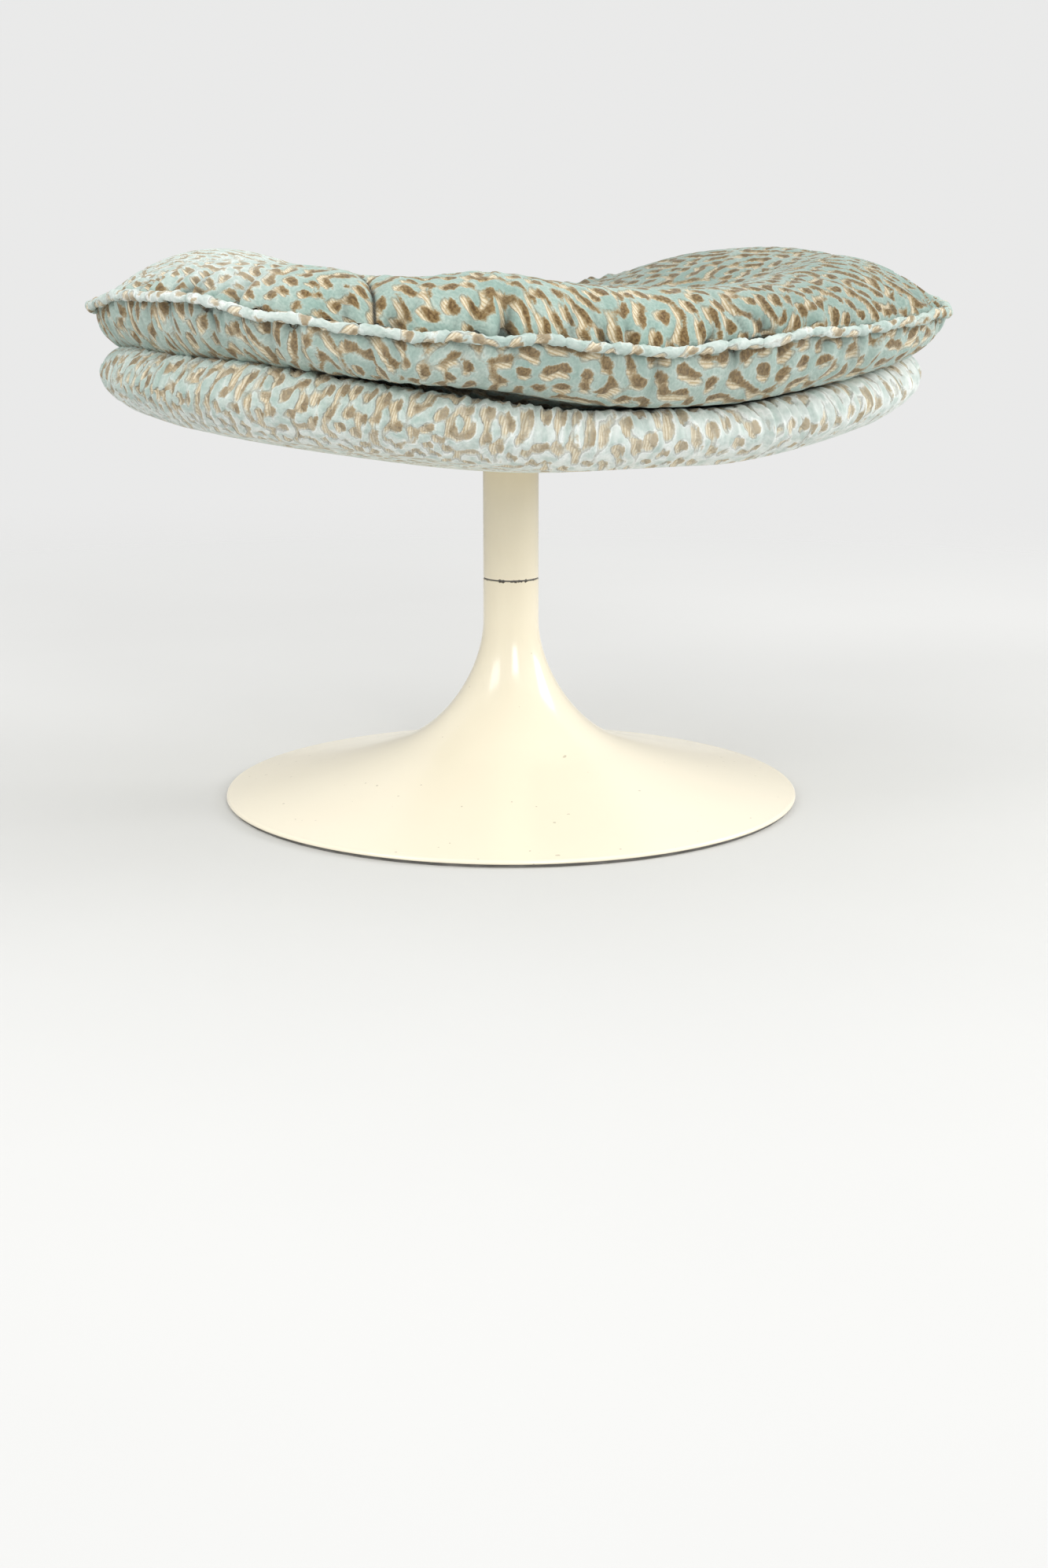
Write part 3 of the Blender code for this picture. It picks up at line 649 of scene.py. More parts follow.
def make_cushion_bottom(columns=760):
    """The cushion's lower panel: rows from the seam round the belly, closed by a face just under the seam."""
    angle, around, turn = even_places(cushion_place, CUSHION_ROUND, columns)
    arc = belly(0)[2]
    outer = spaced((0, arc + 0.02, 42), (arc + 0.02, arc + CUSHION_CONTACT - 0.02, 9))
    rng = np.random.default_rng(BOTTOM_SEED)
    puff = loop_noise(rng, *PUFF_WAVES)(turn)
    sag = loop_noise(rng, *SLOW_WAVES)(turn)
    inward = outer[:, None]
    tuck, fold_shade = creases(rng, BOTTOM_TUCKS, around, inward, CUSHION_ROUND)
    # Painted shade along the seam next to the welt
    fold_shade = np.maximum(fold_shade, 0.8 * np.exp(-inward / (2.5 * MM)))

    # The form, which follows the welt at the seam and hangs free of the shell in two places
    radius, height, _ = belly(inward)
    x, y = cushion_plan(radius, angle)
    down = smooth(inward / arc)
    free = 8 * MM * beside(angle, FRONT_BELLY, 18) + 3.5 * MM * beside(angle, LEFT_GATHERS, 25)
    height = height + wander(angle)[0] * (1 - down) + free * down * (1 - smooth((inward - arc) / 0.03))
    rows = np.stack([x, y, shell_top(x, y) + CUSHION_REST + height], -1)
    closing = [closing_row(s, angle, -SEAM_GAP) for s in BOTTOM_CLOSING[::-1]]
    poles = ((0, 0, CUSHION_FLOOR + WELT_HEIGHT - SEAM_GAP), (0, 0, CUSHION_FLOOR))
    obj, points = ring_piece("cushion_bottom", np.concatenate([closing, rows]), poles, flip=True)

    # Tucks and puffs, and the print, which is denser at the left end
    bulge = 2.2 * MM * np.sin(math.pi * np.minimum(inward / arc, 1)) * (1 + 0.5 * sag)
    lift = (bulge - tuck + 1.5 * MM * puff * np.exp(-inward / 0.028)) * smooth((arc - inward) / 0.02)
    stretch = (CUSHION_HALF_LENGTH + 0.02 - inward) / np.maximum(radius, 1e-6)
    u, v = turned(x * stretch, y * stretch, math.radians(84))
    gathered = facing(angle, LEFT_END, 0.70, 0.2)
    u, v, lift, fold_shade, *other = (
        np.pad(np.broadcast_to(values, tuck.shape).ravel(), (len(closing) * columns, len(poles)))
        for values in (0.92 * u, 1.14 * v, lift, fold_shade, 1.25 * around, inward, gathered)
    )
    # The panel has a painted sheen of 0.17 all over
    dress(obj, points, u + 0.31, v + 0.17, lift, 0.17, fold_shade=fold_shade, rare=-0.08, barer=-0.20, other=other)
    return obj


# Welt

WELT_STAND = 3.6 * MM  # from the seam out to the middle of the cord


def make_welt(columns=2300, sides=16):
    """The cord round the cushion's seam, pinched where its cloth is gathered."""
    angle, around, turn = even_places(cushion_place, CUSHION_ROUND, columns)
    rng = np.random.default_rng(WELT_SEED)
    x, y = cushion_plan(CUSHION_HALF_LENGTH, angle)
    out = np.stack([np.roll(y, -1) - np.roll(y, 1), np.roll(x, 1) - np.roll(x, -1)], -1)
    out /= np.linalg.norm(out, axis=1)[:, None]
    stand = WELT_STAND + 0.9 * MM * loop_noise(rng, *WELT_DRIFT_WAVES)(turn)
    height = shell_top(x, y) + CUSHION_REST + WELT_HEIGHT + wander(angle)[0]
    height += 0.8 * MM * loop_noise(rng, *WELT_DRIFT_WAVES)(turn)
    centre = np.stack([x + out[:, 0] * stand, y + out[:, 1] * stand, height], -1)
    swell = 1 + 0.07 * loop_noise(rng, *WELT_SWELL_WAVES)(turn)
    pinches = []
    place = 0.0
    while place < CUSHION_ROUND:
        place += rng.uniform(8, 22) * MM
        pinches.append((place, rng.normal(0, 0.25), rng.uniform(0.15, 0.50), rng.uniform(0.9, 2.0) * MM))
    rows = []
    turns = TURN * (np.arange(sides)[::-1] / sides + 0.5)
    v, u = np.meshgrid(turns * WELT_RADIUS, around, indexing="ij")
    for k, t in enumerate(turns):
        radius = WELT_RADIUS * swell + 0.22 * MM * sampled(ragged, u[k], v[k])
        for place, lean, deep, wide in pinches:
            offset = wrapped(around - place - lean * WELT_RADIUS * math.cos(t), CUSHION_ROUND)
            radius = radius * (1 - deep * np.exp(-np.abs(offset) / wide))
        ring = centre.copy()
        ring[:, :2] += out * (math.cos(t) * radius)[:, None]
        ring[:, 2] += math.sin(t) * radius
        rows.append(ring)
    obj, points = ring_piece("cushion_welt_cord", np.array(rows), closed=True, flip=True)

    # Its cloth is cut on the bias, with painted sheen that varies along it and is strongest at the left end
    u, v = turned(0.9 * u.ravel(), v.ravel(), math.radians(40))
    pale = 0.34 + 0.10 * loop_noise(rng, *WELT_SHEEN_WAVES)(turn) + 0.50 * beside(angle, LEFT_CORD, 26)
    painted_sheen_and_shade = np.clip(np.tile(pale, sides), 0.1, 0.95)
    dress(obj, points, u + 0.05, v + 0.43, 0.0, painted_sheen_and_shade, pile=0.4, rare=0.45)
    return obj


# Shell

RIM_LIFT = 6 * MM  # the rim stands higher and hangs lower at its left end
RIM_DROOP = 3 * MM
SEAM_FADE = 9 * MM  # folds and pile fade out this near to the seam under the rim
UNDER_GAP = 0.3 * MM  # from the under cover to the stem and to the rim
UNDER_LEVEL = 0.12  # radius from which it hangs lower at the left end


def end_swell(angle):
    """From 0 to 1 towards the shell's left end."""
    return np.maximum(np.cos(angle - math.radians(LEFT_END)), 0) ** 4


def laid_out(values, shape, spare):
    """A field of the shell's rows as a value per vertex, with zeros for the spare vertices after them."""
    return np.pad(np.broadcast_to(values, shape)[:, ::-1].ravel(), (0, spare))


def make_shell_cover(columns=800):
    """The velvet of the dish and its rim: rows from the middle to the seam under the rim, and back."""
    angle, around, turn = even_places(shell_place, SHELL_ROUND, columns)
    rng = np.random.default_rng(RIM_SEED)
    puff = loop_noise(rng, *RIM_PUFF_WAVES)(turn)
    slow = loop_noise(rng, *SLOW_WAVES)(turn)

    # Rows of the form: one radius each, and heights square to the dish
    rim_centre = SHELL_HALF_LENGTH - RIM_RADIUS
    up = RIM_RADIUS + RIM_LIFT * end_swell(angle)
    down = RIM_RADIUS + RIM_DROOP * end_swell(angle)
    tops = spaced((20 * MM, 205 * MM, 10), (205 * MM, rim_centre, 24))
    arcs = np.radians(spaced((90, -90, 36))[1:])
    tuck_in = rim_centre - SEAM_RADIUS - 1 * MM
    rows = []
    for r in tops:
        raised = (up - RIM_RADIUS) * smooth((r - 0.226) / 0.026)
        rows.append((r, RIM_MIDDLE + RIM_RADIUS + raised))
    for t in arcs:
        tall, reach = up, RIM_RADIUS * math.cos(t)
        if t < 0:
            tall, reach = down, (RIM_RADIUS + tuck_in) * math.cos(t) ** 1.35 - tuck_in
        rows.append((rim_centre + reach, RIM_MIDDLE + tall * math.sin(t)))
    rows.append((SEAM_RADIUS, RIM_MIDDLE - down))
    inner = [
        (SEAM_RADIUS, RIM_MIDDLE - down + 4 * MM),
        (rim_centre - 4 * MM, RIM_MIDDLE - down + 6 * MM),
        (rim_centre + RIM_RADIUS - 8 * MM, RIM_MIDDLE),
        (rim_centre, RIM_MIDDLE + up - 5 * MM),
        (120 * MM, RIM_MIDDLE + RIM_RADIUS - FABRIC),
        (20 * MM, RIM_MIDDLE + RIM_RADIUS - FABRIC),
    ]
    grid = np.array([shell_row(radius, angle, height) for radius, height in rows + inner])
    poles = ((0, 0, SHELL_BASE + COVER_TOP), (0, 0, SHELL_BASE + COVER_TOP - FABRIC))
    obj, points = ring_piece("shell_velvet", grid[:, ::-1].copy(), poles)

    # Each row's way from the middle, over the rim's top and side to the seam
    means = np.array([(radius, np.mean(height)) for radius, height in rows])
    way = path_lengths(*means.T)[:, None]
    start, crease, top = way[len(tops) - 12], way[len(tops) - 3], way[len(tops)]
    side, seam = way[len(tops) + len(arcs) // 2], way[-1]

    # Gathers at the cushion and at the seam
    tuck, fold_shade = creases(rng, RIM_TUCKS, around, np.abs(way - crease), SHELL_ROUND)
    tuck += creases(rng, RIM_SEAM_TUCKS, around, seam - way, SHELL_ROUND)[0]
    over = smooth((way - top) / 0.018)
    crown = np.exp(-((way - top) / 0.012) ** 2)
    bulge = 0.7 * MM * puff * smooth((seam - way) / 0.04) * over
    bulge = bulge + 0.5 * MM * (slow + crown * np.tanh(1.5 * puff))
    fade = smooth((seam - way) / SEAM_FADE)
    lift = (bulge - tuck * (0.3 + 0.7 * over)) * smooth((way - start) / 0.01) * fade

    # The print: sparser and with painted sheen towards the right, denser at the left end, plain and with
    # painted sheen under the rim
    # pale is the share of painted sheen towards the right, and it also thins the print there
    pale = facing(angle, SHEEN_SIDE, -0.05, 0.7)
    plain = facing(angle, PLAIN_SIDE, 0.80, 0.18)
    gathered = facing(angle, LEFT_GATHERS, 0.55, 0.35)
    density = 1.0 + 0.16 * pale + 0.26 * gathered
    print_around = np.append(0, np.cumsum(np.diff(around) * density[1:]))
    beyond = way - side
    print_down = beyond * (1.0 - 0.42 * pale + 0.12 * gathered) + 0.3 * np.maximum(beyond, 0.0)
    under = smooth((way - seam + 0.034) / 0.020)
    painted_sheen_and_shade = 0.40 + 0.48 * pale + 0.08 * slow * smooth((way - top) / 0.03)
    painted_sheen_and_shade = np.clip(painted_sheen_and_shade + (0.76 - 0.5 * painted_sheen_and_shade) * under, 0, 0.94)
    rare = 0.50 * pale + 0.22 * plain + 0.30 * under
    barer = 0.34 * pale - 0.22 * plain
    u, v, lift, painted_sheen_and_shade, pile, fold_shade, rare, barer = (
        laid_out(values, tuck.shape, len(points) - tuck.size)
        for values in (print_around, print_down, lift, painted_sheen_and_shade, 1.9 * fade, 0.7 * fold_shade, rare, barer)
    )
    u, v = turned(u, v, math.radians(-6))
    dress(obj, points, u + 0.11, v + 0.27, lift, painted_sheen_and_shade, pile, fold_shade, 0.10 + rare, 0.44 + barer)
    return obj


def make_shell_under(columns=620):
    """The velvet under the shell, from the stem out to the seam under the rim, as thick as the cloth."""
    angle, around, _ = even_places(shell_place, SHELL_ROUND, columns)
    hole, seam = STEM_RADIUS + UNDER_GAP, SEAM_RADIUS - UNDER_GAP
    radii = spaced((hole, seam, 92))
    rows = [(r, UNDER_BOTTOM) for r in radii]
    inner = [(r, UNDER_BOTTOM + FABRIC) for r in (seam, UNDER_LEVEL, hole)]
    grid = []
    for r, height in rows + inner:
        drop = RIM_DROOP * end_swell(angle) * smooth((r - UNDER_LEVEL) / 0.12)
        grid.append(shell_row(r, angle, height - drop))
    grid = np.array(grid)
    obj, points = ring_piece("shell_under_velvet", grid[:, ::-1].copy(), closed=True, flip=True)

    inward = (seam - radii)[:, None]
    tuck, _ = creases(np.random.default_rng(UNDER_SEED), UNDER_TUCKS, around, inward, SHELL_ROUND)
    fade = smooth(inward / SEAM_FADE)
    lift = -tuck * smooth((seam - inward - hole) / 0.02) * fade
    outer = grid[:len(rows)]
    u, v, lift, pile = (
        laid_out(values, tuck.shape, len(points) - tuck.size)
        for values in (outer[..., 0], outer[..., 1], lift, fade)
    )
    # Painted sheen of 0.82 all over the underside, standing in for light thrown up from below
    dress(obj, points, u + 0.4, v + 0.2, lift, 0.82, pile, rare=0.25)
    return obj


# Base and stem

def bezier(start, start_pull, end_pull, end, steps):
    t = np.linspace(0, 1, steps + 1)[1:, None]
    corners = [np.array(c) for c in (start, start_pull, end_pull, end)]
    return ((1 - t) ** 3 * corners[0] + 3 * t * (1 - t) ** 2 * corners[1]
            + 3 * t * t * (1 - t) * corners[2] + t ** 3 * corners[3])


def arc_points(centre, radius, start, end, steps):
    t = np.radians(np.linspace(start, end, steps + 1))
    return np.stack([centre[0] + radius * np.cos(t), centre[1] + radius * np.sin(t)], -1)


def base_outline(steps):
    """Radius and height down the trumpet's outside, from the neck over the knee to the rim."""
    neck = (NECK_RADIUS, FLARE_TOP)
    knee = (KNEE_RADIUS, KNEE_HEIGHT)
    rim = (BASE_RADIUS - EDGE_ROUND, CASTING_BOTTOM + EDGE_HEIGHT)
    third = (rim[0] - knee[0]) / 3
    flare = bezier(
        neck, (NECK_RADIUS, FLARE_TOP - FLARE_PULL),
        (KNEE_RADIUS - FLARE_PULL, KNEE_HEIGHT + KNEE_SLOPE * FLARE_PULL), knee, steps,
    )
    skirt = bezier(
        knee, (knee[0] + third, knee[1] - KNEE_SLOPE * third),
        (rim[0] - third, rim[1] + RIM_SLOPE * third), rim, steps,
    )
    return np.concatenate([[neck], flare, skirt])


def lathe(name, profile, columns):
    """A turned piece from the closed profile of its section."""
    angle = np.arange(columns) / columns * TURN
    radius, height = profile[:, :1], np.repeat(profile[:, 1:], columns, 1)
    rows = np.stack([radius * np.cos(angle), radius * np.sin(angle), height], -1)
    return ring_piece(name, rows[:, ::-1].copy(), closed=True)[0]


def upright(radius, start, end, count):
    """Points down a straight side of a profile."""
    return np.stack([np.full(count, radius), np.linspace(start, end, count)], -1)


LIP = 0.4 * MM  # round of the two edges at the stem's seam


def make_base():
    """The hollow casting, with a web and a socket inside its neck."""
    outline = base_outline(40)
    along = np.gradient(outline, axis=0)
    square = np.stack([along[:, 1], -along[:, 0]], -1)
    square /= np.linalg.norm(square, axis=1)[:, None]
    inside = (outline + square * BASE_WALL)[::-1]
    inside = inside[(inside[:, 1] > CASTING_BOTTOM) & (inside[:, 1] < WEB_BOTTOM)][::4]
    edge_centre = (BASE_RADIUS - EDGE_ROUND, CASTING_BOTTOM + EDGE_HEIGHT - EDGE_ROUND)
    bottom = [(BASE_RADIUS, CASTING_BOTTOM), (inside[0, 0] + 1 * MM, CASTING_BOTTOM)]
    web = [
        (inside[-1, 0], WEB_BOTTOM), (STUD_HOLE, WEB_BOTTOM), (STUD_HOLE, WEB_TOP),
        (SOCKET_RADIUS, WEB_TOP), (SOCKET_RADIUS, NECK_TOP),
    ]
    profile = np.concatenate([
        arc_points((NECK_RADIUS - LIP, NECK_TOP - LIP / 2), LIP, 90, 0, 4),
        upright(NECK_RADIUS, NECK_TOP - 1 * MM, FLARE_TOP + 3 * MM, 8),
        outline, arc_points(edge_centre, EDGE_ROUND, 90, 0, 8)[1:], bottom, inside, web,
    ])
    return lathe("trumpet_base", profile, 256)


def make_stem():
    """The tube under the seat, whose lower lip all but closes the seam."""
    profile = np.concatenate([
        upright(STEM_RADIUS, STEM_TOP, STEM_BOTTOM + 0.4 * MM, 14),
        arc_points((STEM_RADIUS - LIP, STEM_BOTTOM - 0.3 * MM), LIP, 0, -90, 4),
        [(STEM_RADIUS - 0.45 * MM, STEM_BOTTOM), (STEM_BORE, STEM_BOTTOM), (STEM_BORE, STEM_TOP)],
    ])
    return lathe("stem_tube", profile, 192)


# Materials

class Tree:
    """Short hand for the nodes of a material or a world."""

    def __init__(self, name, kind="materials", shader="Principled BSDF"):
        self.owner = getattr(bpy.data, kind).new(name)
        self.owner.use_nodes = True
        self.tree = self.owner.node_tree
        self.shader = self.tree.nodes[shader]

    def node(self, kind, inputs=None, **settings):
        made = self.tree.nodes.new("ShaderNode" + kind)
        for key, value in settings.items():
            setattr(made, key, value)
        for key, value in (inputs or {}).items():
            self.put(made.inputs[key], value)
        return made

    def put(self, socket, value):
        if isinstance(value, bpy.types.NodeSocket):
            self.tree.links.new(value, socket)
        else:
            socket.default_value = value

    def set(self, **values):
        for key, value in values.items():
            self.put(self.shader.inputs[key.replace("_", " ")], value)

    def math(self, operation, a, b=0.0, clamp=False):
        return self.node("Math", {0: a, 1: b}, operation=operation, use_clamp=clamp).outputs[0]

    def plus(self, a, b, clamp=False):
        return self.math("ADD", a, b, clamp)

    def less(self, a, b):
        return self.math("SUBTRACT", a, b)

    def times(self, a, b, clamp=False):
        return self.math("MULTIPLY", a, b, clamp)

    def mix(self, factor, a, b):
        made = self.node("Mix", data_type="RGBA")
        for index, value in ((0, factor), (6, a), (7, b)):
            self.put(made.inputs[index], value)
        return made.outputs[2]

    def mix_number(self, factor, a, b):
        return self.node("Mix", {0: factor, 2: a, 3: b}).outputs[0]

    def ramp(self, value, low, high, to_low=0.0, to_high=1.0):
        inputs = {"Value": value, "From Min": low, "From Max": high, "To Min": to_low, "To Max": to_high}
        return self.node("MapRange", inputs, interpolation_type="SMOOTHSTEP").outputs[0]

    def attribute(self, name, output="Fac"):
        return self.node("Attribute", attribute_name=name).outputs[output]

    def noise(self, vector, scale, detail=2.0, roughness=0.5):
        inputs = {"Vector": vector, "Scale": scale, "Detail": detail, "Roughness": roughness}
        return self.node("TexNoise", inputs).outputs[0]

    def bump(self, height, distance):
        return self.node("Bump", {"Height": height, "Distance": distance}).outputs[0]

    def coordinates(self):
        return self.node("TexCoord").outputs["Object"]

    def scaled(self, vector, scale):
        return self.node("Mapping", {"Vector": vector, "Scale": scale}).outputs[0]

    def part(self, vector, index):
        return self.node("SeparateXYZ", {0: vector}).outputs[index]


AQUA_DEEP = (0.190, 0.300, 0.265, 1)
AQUA = (0.306, 0.434, 0.380, 1)
AQUA_PALE = (0.580, 0.665, 0.595, 1)
PAINTED_SHEEN = (0.825, 0.858, 0.832, 1)
PAINTED_SHEEN_WARM = (0.640, 0.575, 0.440, 1)
BROWN_DARK = (0.120, 0.070, 0.028, 1)
BROWN = (0.258, 0.174, 0.076, 1)
BROWN_EDGE = (0.422, 0.310, 0.165, 1)
GOLD = (0.500, 0.375, 0.195, 1)
CREAM = (0.805, 0.722, 0.540, 1)
SHADOW = (0.060, 0.062, 0.050, 1)
CUT_EDGE = (0.150, 0.112, 0.055, 1)
IVORY = (0.890, 0.815, 0.648, 1)
IVORY_PALE = (0.900, 0.827, 0.663, 1)
IVORY_SEAT_SHADE = (0.870, 0.742, 0.488, 1)
SPECK = (0.42, 0.36, 0.26, 1)
PRIMER = (0.075, 0.062, 0.045, 1)
PLASTIC = (0.115, 0.112, 0.105, 1)
PLASTIC_SCUFFED = (0.20, 0.195, 0.185, 1)
WOOD_DARK = (0.42, 0.26, 0.12, 1)
WOOD_PALE = (0.66, 0.47, 0.27, 1)
WOOD_GLUE = (0.33, 0.19, 0.08, 1)
STEEL_LIGHT, STEEL_DARK = (0.62, 0.62, 0.61, 1), (0.36, 0.36, 0.36, 1)
BRONZE_LIGHT, BRONZE_DARK = (0.60, 0.42, 0.20, 1), (0.32, 0.20, 0.09, 1)
FLOOR, FLOOR_PALE = (0.655, 0.655, 0.645, 1), (0.665, 0.665, 0.655, 1)


def velvet_material():
    """Aqua and brown pile over a flat ribbed ground, laid by the fields on the mesh."""
    m = Tree("cut_velvet")
    cloth = m.attribute("cloth", "Vector")
    fuzz = m.less(m.noise(cloth, 800, 1.0), 0.5)
    tuft = m.noise(cloth, 520, 1.0)
    soft = m.noise(cloth, 60, 2.0)
    patch = m.noise(cloth, 120, 2.0, 0.6)
    brown_level = m.plus(m.attribute("brown"), m.times(fuzz, 0.9))
    ground_level = m.plus(m.attribute("ground"), m.times(fuzz, 0.4))
    ground = m.ramp(ground_level, -0.55, 0.40)
    sharp = m.ramp(brown_level, -0.45, 0.30)
    brown = m.mix_number(ground, sharp, m.ramp(brown_level, -0.80, 0.55))
    bare = m.times(ground, m.less(1.0, brown))

    # Aqua pile, with a painted highlight along the edge of each raised island
    lay = m.plus(m.times(m.attribute("lay"), 0.09), m.ramp(soft, 0.25, 0.8, 0.06, 0.52))
    # edge marks where the pile's edge would catch the light, for the painted highlight and a stronger painted
    # sheen
    edge = m.math("MAXIMUM", m.ramp(brown_level, -1.05, -0.35), m.ramp(ground_level, -0.95, -0.30))
    lay = m.plus(lay, m.times(edge, 0.32), clamp=True)
    aqua = m.mix(lay, AQUA, AQUA_PALE)
    aqua = m.mix(m.ramp(tuft, 0.30, 0.70, 0.40, 0.0), aqua, AQUA_DEEP)

    # Brown pile, darker inside its marks
    depth = m.ramp(brown_level, 0.0, 0.9)
    pile = m.mix(m.times(depth, m.ramp(tuft, 0.66, 0.36)), BROWN, BROWN_DARK)
    pile = m.mix(m.ramp(brown_level, 0.45, -0.30, 0.0, 0.8), pile, BROWN_EDGE)

    # Flat ribbed ground
    wave = m.plus(m.part(cloth, 0), m.times(soft, 1.2 * MM))
    wave = m.math("SINE", m.times(wave, TURN / RIB))
    rib = m.times(m.ramp(wave, -0.95, 0.2, 0.18, 1.0), m.ramp(tuft, 0.25, 0.60, 0.55, 1.0))
    ribbed = m.mix(rib, GOLD, CREAM)
    ribbed = m.mix(m.ramp(brown_level, -1.0, -0.2, 0.0, 0.35), ribbed, GOLD)
    colour = m.mix(ground, aqua, ribbed)
    colour = m.mix(brown, colour, pile)

    # Painted sheen where the sheen field is over 0, stronger at the pile's edges and in random patches, and
    # painted shade where it is under 0
    sheen_spread = m.times(m.ramp(patch, 0.3, 0.65, 0.6, 1.25), m.ramp(edge, 0.0, 1.0, 0.74, 1.20))
    painted_sheen_and_shade = m.times(m.attribute("painted_sheen_and_shade"), sheen_spread, clamp=True)
    painted_sheen_and_shade = m.times(painted_sheen_and_shade, m.less(1.0, m.times(bare, 0.8)))
    painted_sheen_and_shade = m.times(painted_sheen_and_shade, m.less(1.0, m.times(brown, 0.36)))
    colour = m.mix(painted_sheen_and_shade, colour, m.mix(brown, PAINTED_SHEEN, PAINTED_SHEEN_WARM))
    colour = m.mix(m.times(m.attribute("painted_sheen_and_shade"), -1.0, clamp=True), colour, SHADOW)

    # Shade in the folds, along the cut edge of the pile and in the corner fold
    colour = m.mix(m.times(m.attribute("fold_shade"), 0.68), colour, SHADOW)
    cut = m.ramp(m.math("ABSOLUTE", m.plus(ground_level, 0.30)), 0.30, 0.0)
    cut = m.times(cut, m.less(1.0, brown))
    colour = m.mix(m.times(cut, 0.34), colour, CUT_EDGE)
    off = m.plus(m.math("ABSOLUTE", m.attribute("crease_off")), m.times(fuzz, 0.8))
    line = m.ramp(off, 2.6, 0.3)
    line = m.times(m.times(line, line), m.attribute("crease_open"))
    colour = m.mix(m.times(line, 0.95), colour, SHADOW)

    high = m.less(1.0, m.times(bare, 0.75))
    high = m.plus(high, m.times(m.times(rib, bare), 0.12))
    high = m.plus(high, m.times(tuft, 0.40))
    m.set(Base_Color=colour, Roughness=m.ramp(bare, 0.0, 1.0, 0.88, 0.5), Normal=m.bump(high, PILE))
    m.set(Sheen_Weight=0.22, Sheen_Roughness=0.40, Sheen_Tint=(0.95, 1.0, 0.97, 1), Specular_IOR_Level=0.2)
    return m.owner


def lacquer_material(seam_height):
    """Ivory lacquer, chipped to the dark primer where the two stems meet, with a painted warm shade up under
    the seat.
    """
    m = Tree("ivory_lacquer_%d" % round(seam_height / MM))
    place = m.coordinates()
    colour = m.mix(m.ramp(m.noise(place, 9, 3.0), 0.3, 0.7), IVORY, IVORY_PALE)
    speck = m.ramp(m.noise(place, 260, 0.0, 0.3), 0.845, 0.86)
    colour = m.mix(m.times(speck, 0.55), colour, SPECK)
    height = m.part(place, 2)
    off = m.math("ABSOLUTE", m.less(height, seam_height))
    jag = m.noise(m.scaled(place, (1.0, 1.0, 0.3)), 260, 3.0, 0.65)
    jag = m.plus(jag, m.times(m.noise(place, 45, 1.0), 0.35))
    bite = m.ramp(jag, 0.66, 0.92, 0.0, 0.95)
    chip = m.ramp(m.less(m.times(bite, MM), off), -0.1 * MM, 0.1 * MM)
    # Painted warm shade on the stem's top under the seat, standing in for its shadow and the seat's bounce
    # light
    colour = m.mix(m.ramp(height, 0.195, 0.245, 0.0, 0.6), colour, IVORY_SEAT_SHADE)
    colour = m.mix(chip, colour, PRIMER)
    rough = m.plus(m.ramp(m.noise(place, 14, 3.0), 0.3, 0.7, 0.20, 0.23), m.times(chip, 0.4))
    peel = m.less(m.times(m.noise(place, 160, 0.0), 0.05), chip)
    m.set(Base_Color=colour, Roughness=rough, Normal=m.bump(peel, 0.06 * MM))
    m.set(Specular_IOR_Level=0.5, Coat_Weight=0.2, Coat_Roughness=0.12)
    return m.owner


def metal_material(name, light, dark, rough):
    """Metal with a drawn grain and stains."""
    m = Tree(name)
    place = m.coordinates()
    grain = m.noise(m.scaled(place, (1.0, 1.0, 14.0)), 160, 4.0, 0.6)
    stain = m.noise(place, 38, 3.0)
    m.set(Base_Color=m.mix(m.times(grain, m.ramp(stain, 0.3, 0.7)), light, dark))
    m.set(Roughness=m.ramp(grain, 0.25, 0.75, rough - 0.09, rough + 0.12), Normal=m.bump(grain, 0.03 * MM))
    m.set(Metallic=1.0)
    return m.owner


def plastic_material():
    """Grey plastic, scuffed pale."""
    m = Tree("grey_plastic")
    place = m.coordinates()
    grain = m.noise(place, 900, 2.0)
    scuff = m.noise(place, 60, 4.0)
    m.set(Base_Color=m.mix(m.ramp(scuff, 0.35, 0.75), PLASTIC, PLASTIC_SCUFFED))
    m.set(Roughness=m.ramp(scuff, 0.3, 0.7, 0.45, 0.7), Normal=m.bump(grain, 0.05 * MM))
    return m.owner


def plywood_material():
    """Plywood with long grain and the lines of its plies."""
    m = Tree("moulded_plywood")
    place = m.coordinates()
    grain = m.noise(m.scaled(place, (0.06, 1.0, 1.0)), 260, 5.0, 0.6)
    ply = m.math("SINE", m.times(m.part(place, 2), TURN / (2.6 * MM)))
    colour = m.mix(m.ramp(grain, 0.3, 0.7), WOOD_DARK, WOOD_PALE)
    colour = m.mix(m.ramp(ply, 0.1, 0.9, 0.0, 0.25), colour, WOOD_GLUE)
    m.set(Base_Color=colour, Roughness=m.ramp(grain, 0.2, 0.8, 0.5, 0.72), Normal=m.bump(grain, 0.1 * MM))
    return m.owner


def wear_material(obj, made):
    obj.data.materials.clear()
    obj.data.materials.append(made)


# The pieces

velvet = velvet_material()
base_lacquer = lacquer_material(NECK_TOP)
stem_lacquer = lacquer_material(STEM_BOTTOM - 0.7 * MM)

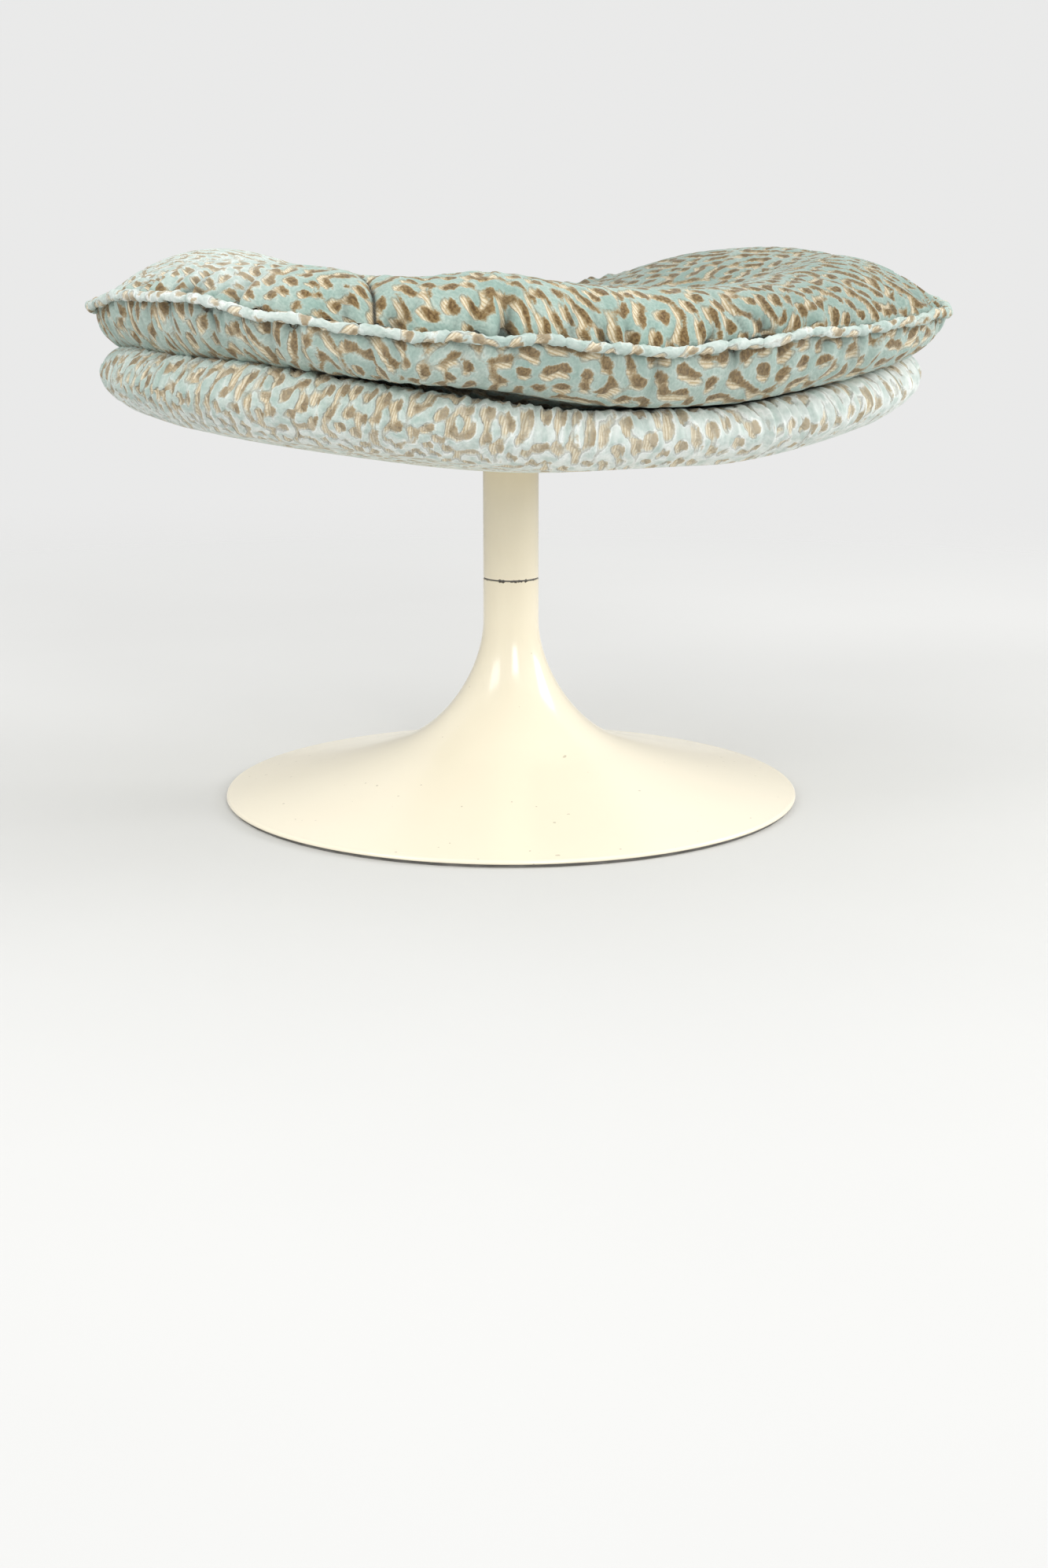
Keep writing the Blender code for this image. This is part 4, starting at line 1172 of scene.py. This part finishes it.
# Each piece with its material, body, the CAD nodes that it stands for, their slot, and how full a pad is
PIECES = (
    (make_cushion_top, velvet, "seat", ("cushion_top_panel", "cushion_core"), "velvet", 0.75),
    (make_cushion_bottom, velvet, "seat", ("cushion_bottom_panel",), "velvet", 0.75),
    (make_shell_cover, velvet, "seat", ("shell_cover", "shell_foam"), "velvet", 0.9),
    (make_shell_under, velvet, "seat", ("shell_under_cover", "underside_wadding"), "velvet", 0.9),
    (make_welt, velvet, "seat", ("cushion_welt",), "velvet", None),
    (make_base, base_lacquer, "base", ("base_casting",), "lacquer", None),
    (make_stem, stem_lacquer, "seat", ("upper_stem",), "lacquer", None),
)
for make, material, body, nodes, slot, fill in PIECES:
    piece = make()
    wear_material(piece, material)
    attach(piece, body)
    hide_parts(*nodes)

# Materials of the CAD nodes that stay, by their slot
SLOT_MATERIALS = {
    "plastic": plastic_material(),
    "steel": metal_material("zinc_steel", STEEL_LIGHT, STEEL_DARK, 0.34),
    "bearing": metal_material("sintered_bronze", BRONZE_LIGHT, BRONZE_DARK, 0.4),
    "plywood": plywood_material(),
}
for row in frame["record"]["subparts"]:
    if row["material_slot"] in SLOT_MATERIALS:
        wear_material(frame["nodes"][row["node"]], SLOT_MATERIALS[row["material_slot"]])


# Floor, light and camera

FLOOR_FADE = (0.6, 1.8)  # the floor passes into the backdrop between these distances
BACKDROP_LEVEL = 0.83
HORIZON_LEVEL = 0.46
ZENITH_LEVEL = 1.05
SKY_COLOUR = (0.99, 0.99, 0.985, 1)
LIGHT_TARGET = (0, 0, 0.15)
LIGHTS = (  # name, place, width and height, and power
    ("right", (3.08, -0.95, 1.60), (1.3, 1.5), 56),
    ("front", (-0.57, -3.50, 1.65), (1.0, 1.4), 42),
    ("left", (-2.84, -0.77, 2.05), (1.4, 1.4), 32),
)


def make_floor():
    bpy.ops.mesh.primitive_circle_add(vertices=96, radius=40, fill_type="TRIFAN", location=(0, 0, 0))
    floor = bpy.context.object
    floor.name = "floor"
    m = Tree("pale_floor")
    place = m.coordinates()
    away = m.node("VectorMath", {0: place}, operation="LENGTH").outputs["Value"]
    grain = m.noise(place, 3.0, 3.0)
    m.set(Base_Color=m.mix(m.ramp(grain, 0.3, 0.7), FLOOR, FLOOR_PALE))
    m.set(Roughness=0.9, Specular_IOR_Level=0.1)
    clear = m.node("BsdfTransparent").outputs[0]
    blend = m.node("MixShader", {0: m.ramp(away, *FLOOR_FADE), 1: m.shader.outputs[0], 2: clear})
    m.tree.links.new(blend.outputs[0], m.tree.nodes["Material Output"].inputs[0])
    floor.data.materials.append(m.owner)


def area_light(name, place, size, power):
    data = bpy.data.lights.new(name, "AREA")
    data.shape = "RECTANGLE"
    data.size, data.size_y = size
    data.energy = power
    lamp = add_object(name, data)
    lamp.location = place
    lamp.rotation_euler = (Vector(LIGHT_TARGET) - Vector(place)).to_track_quat("-Z", "Y").to_euler()
    lamp.visible_camera = False


def make_world():
    """A pale backdrop for the camera, and a soft sky that is brighter overhead."""
    m = Tree("studio", "worlds", "Background")
    height = m.part(m.node("TexCoord").outputs["Generated"], 2)
    dome = m.ramp(height, 0.0, 0.75, HORIZON_LEVEL, ZENITH_LEVEL)
    seen = m.node("LightPath").outputs["Is Camera Ray"]
    m.set(Color=SKY_COLOUR, Strength=m.mix_number(seen, dome, BACKDROP_LEVEL))
    bpy.context.scene.world = m.owner


def make_camera():
    data = bpy.data.cameras.new("camera")
    data.lens = CAMERA_LENS
    camera = add_object("camera", data)
    camera.location = CAMERA_PLACE
    camera.rotation_euler = Euler((CAMERA_PITCH, 0, CAMERA_TURN))
    bpy.context.scene.camera = camera


make_floor()
make_world()
for light in LIGHTS:
    area_light(*light)
make_camera()
bpy.context.scene.view_settings.view_transform = "Standard"
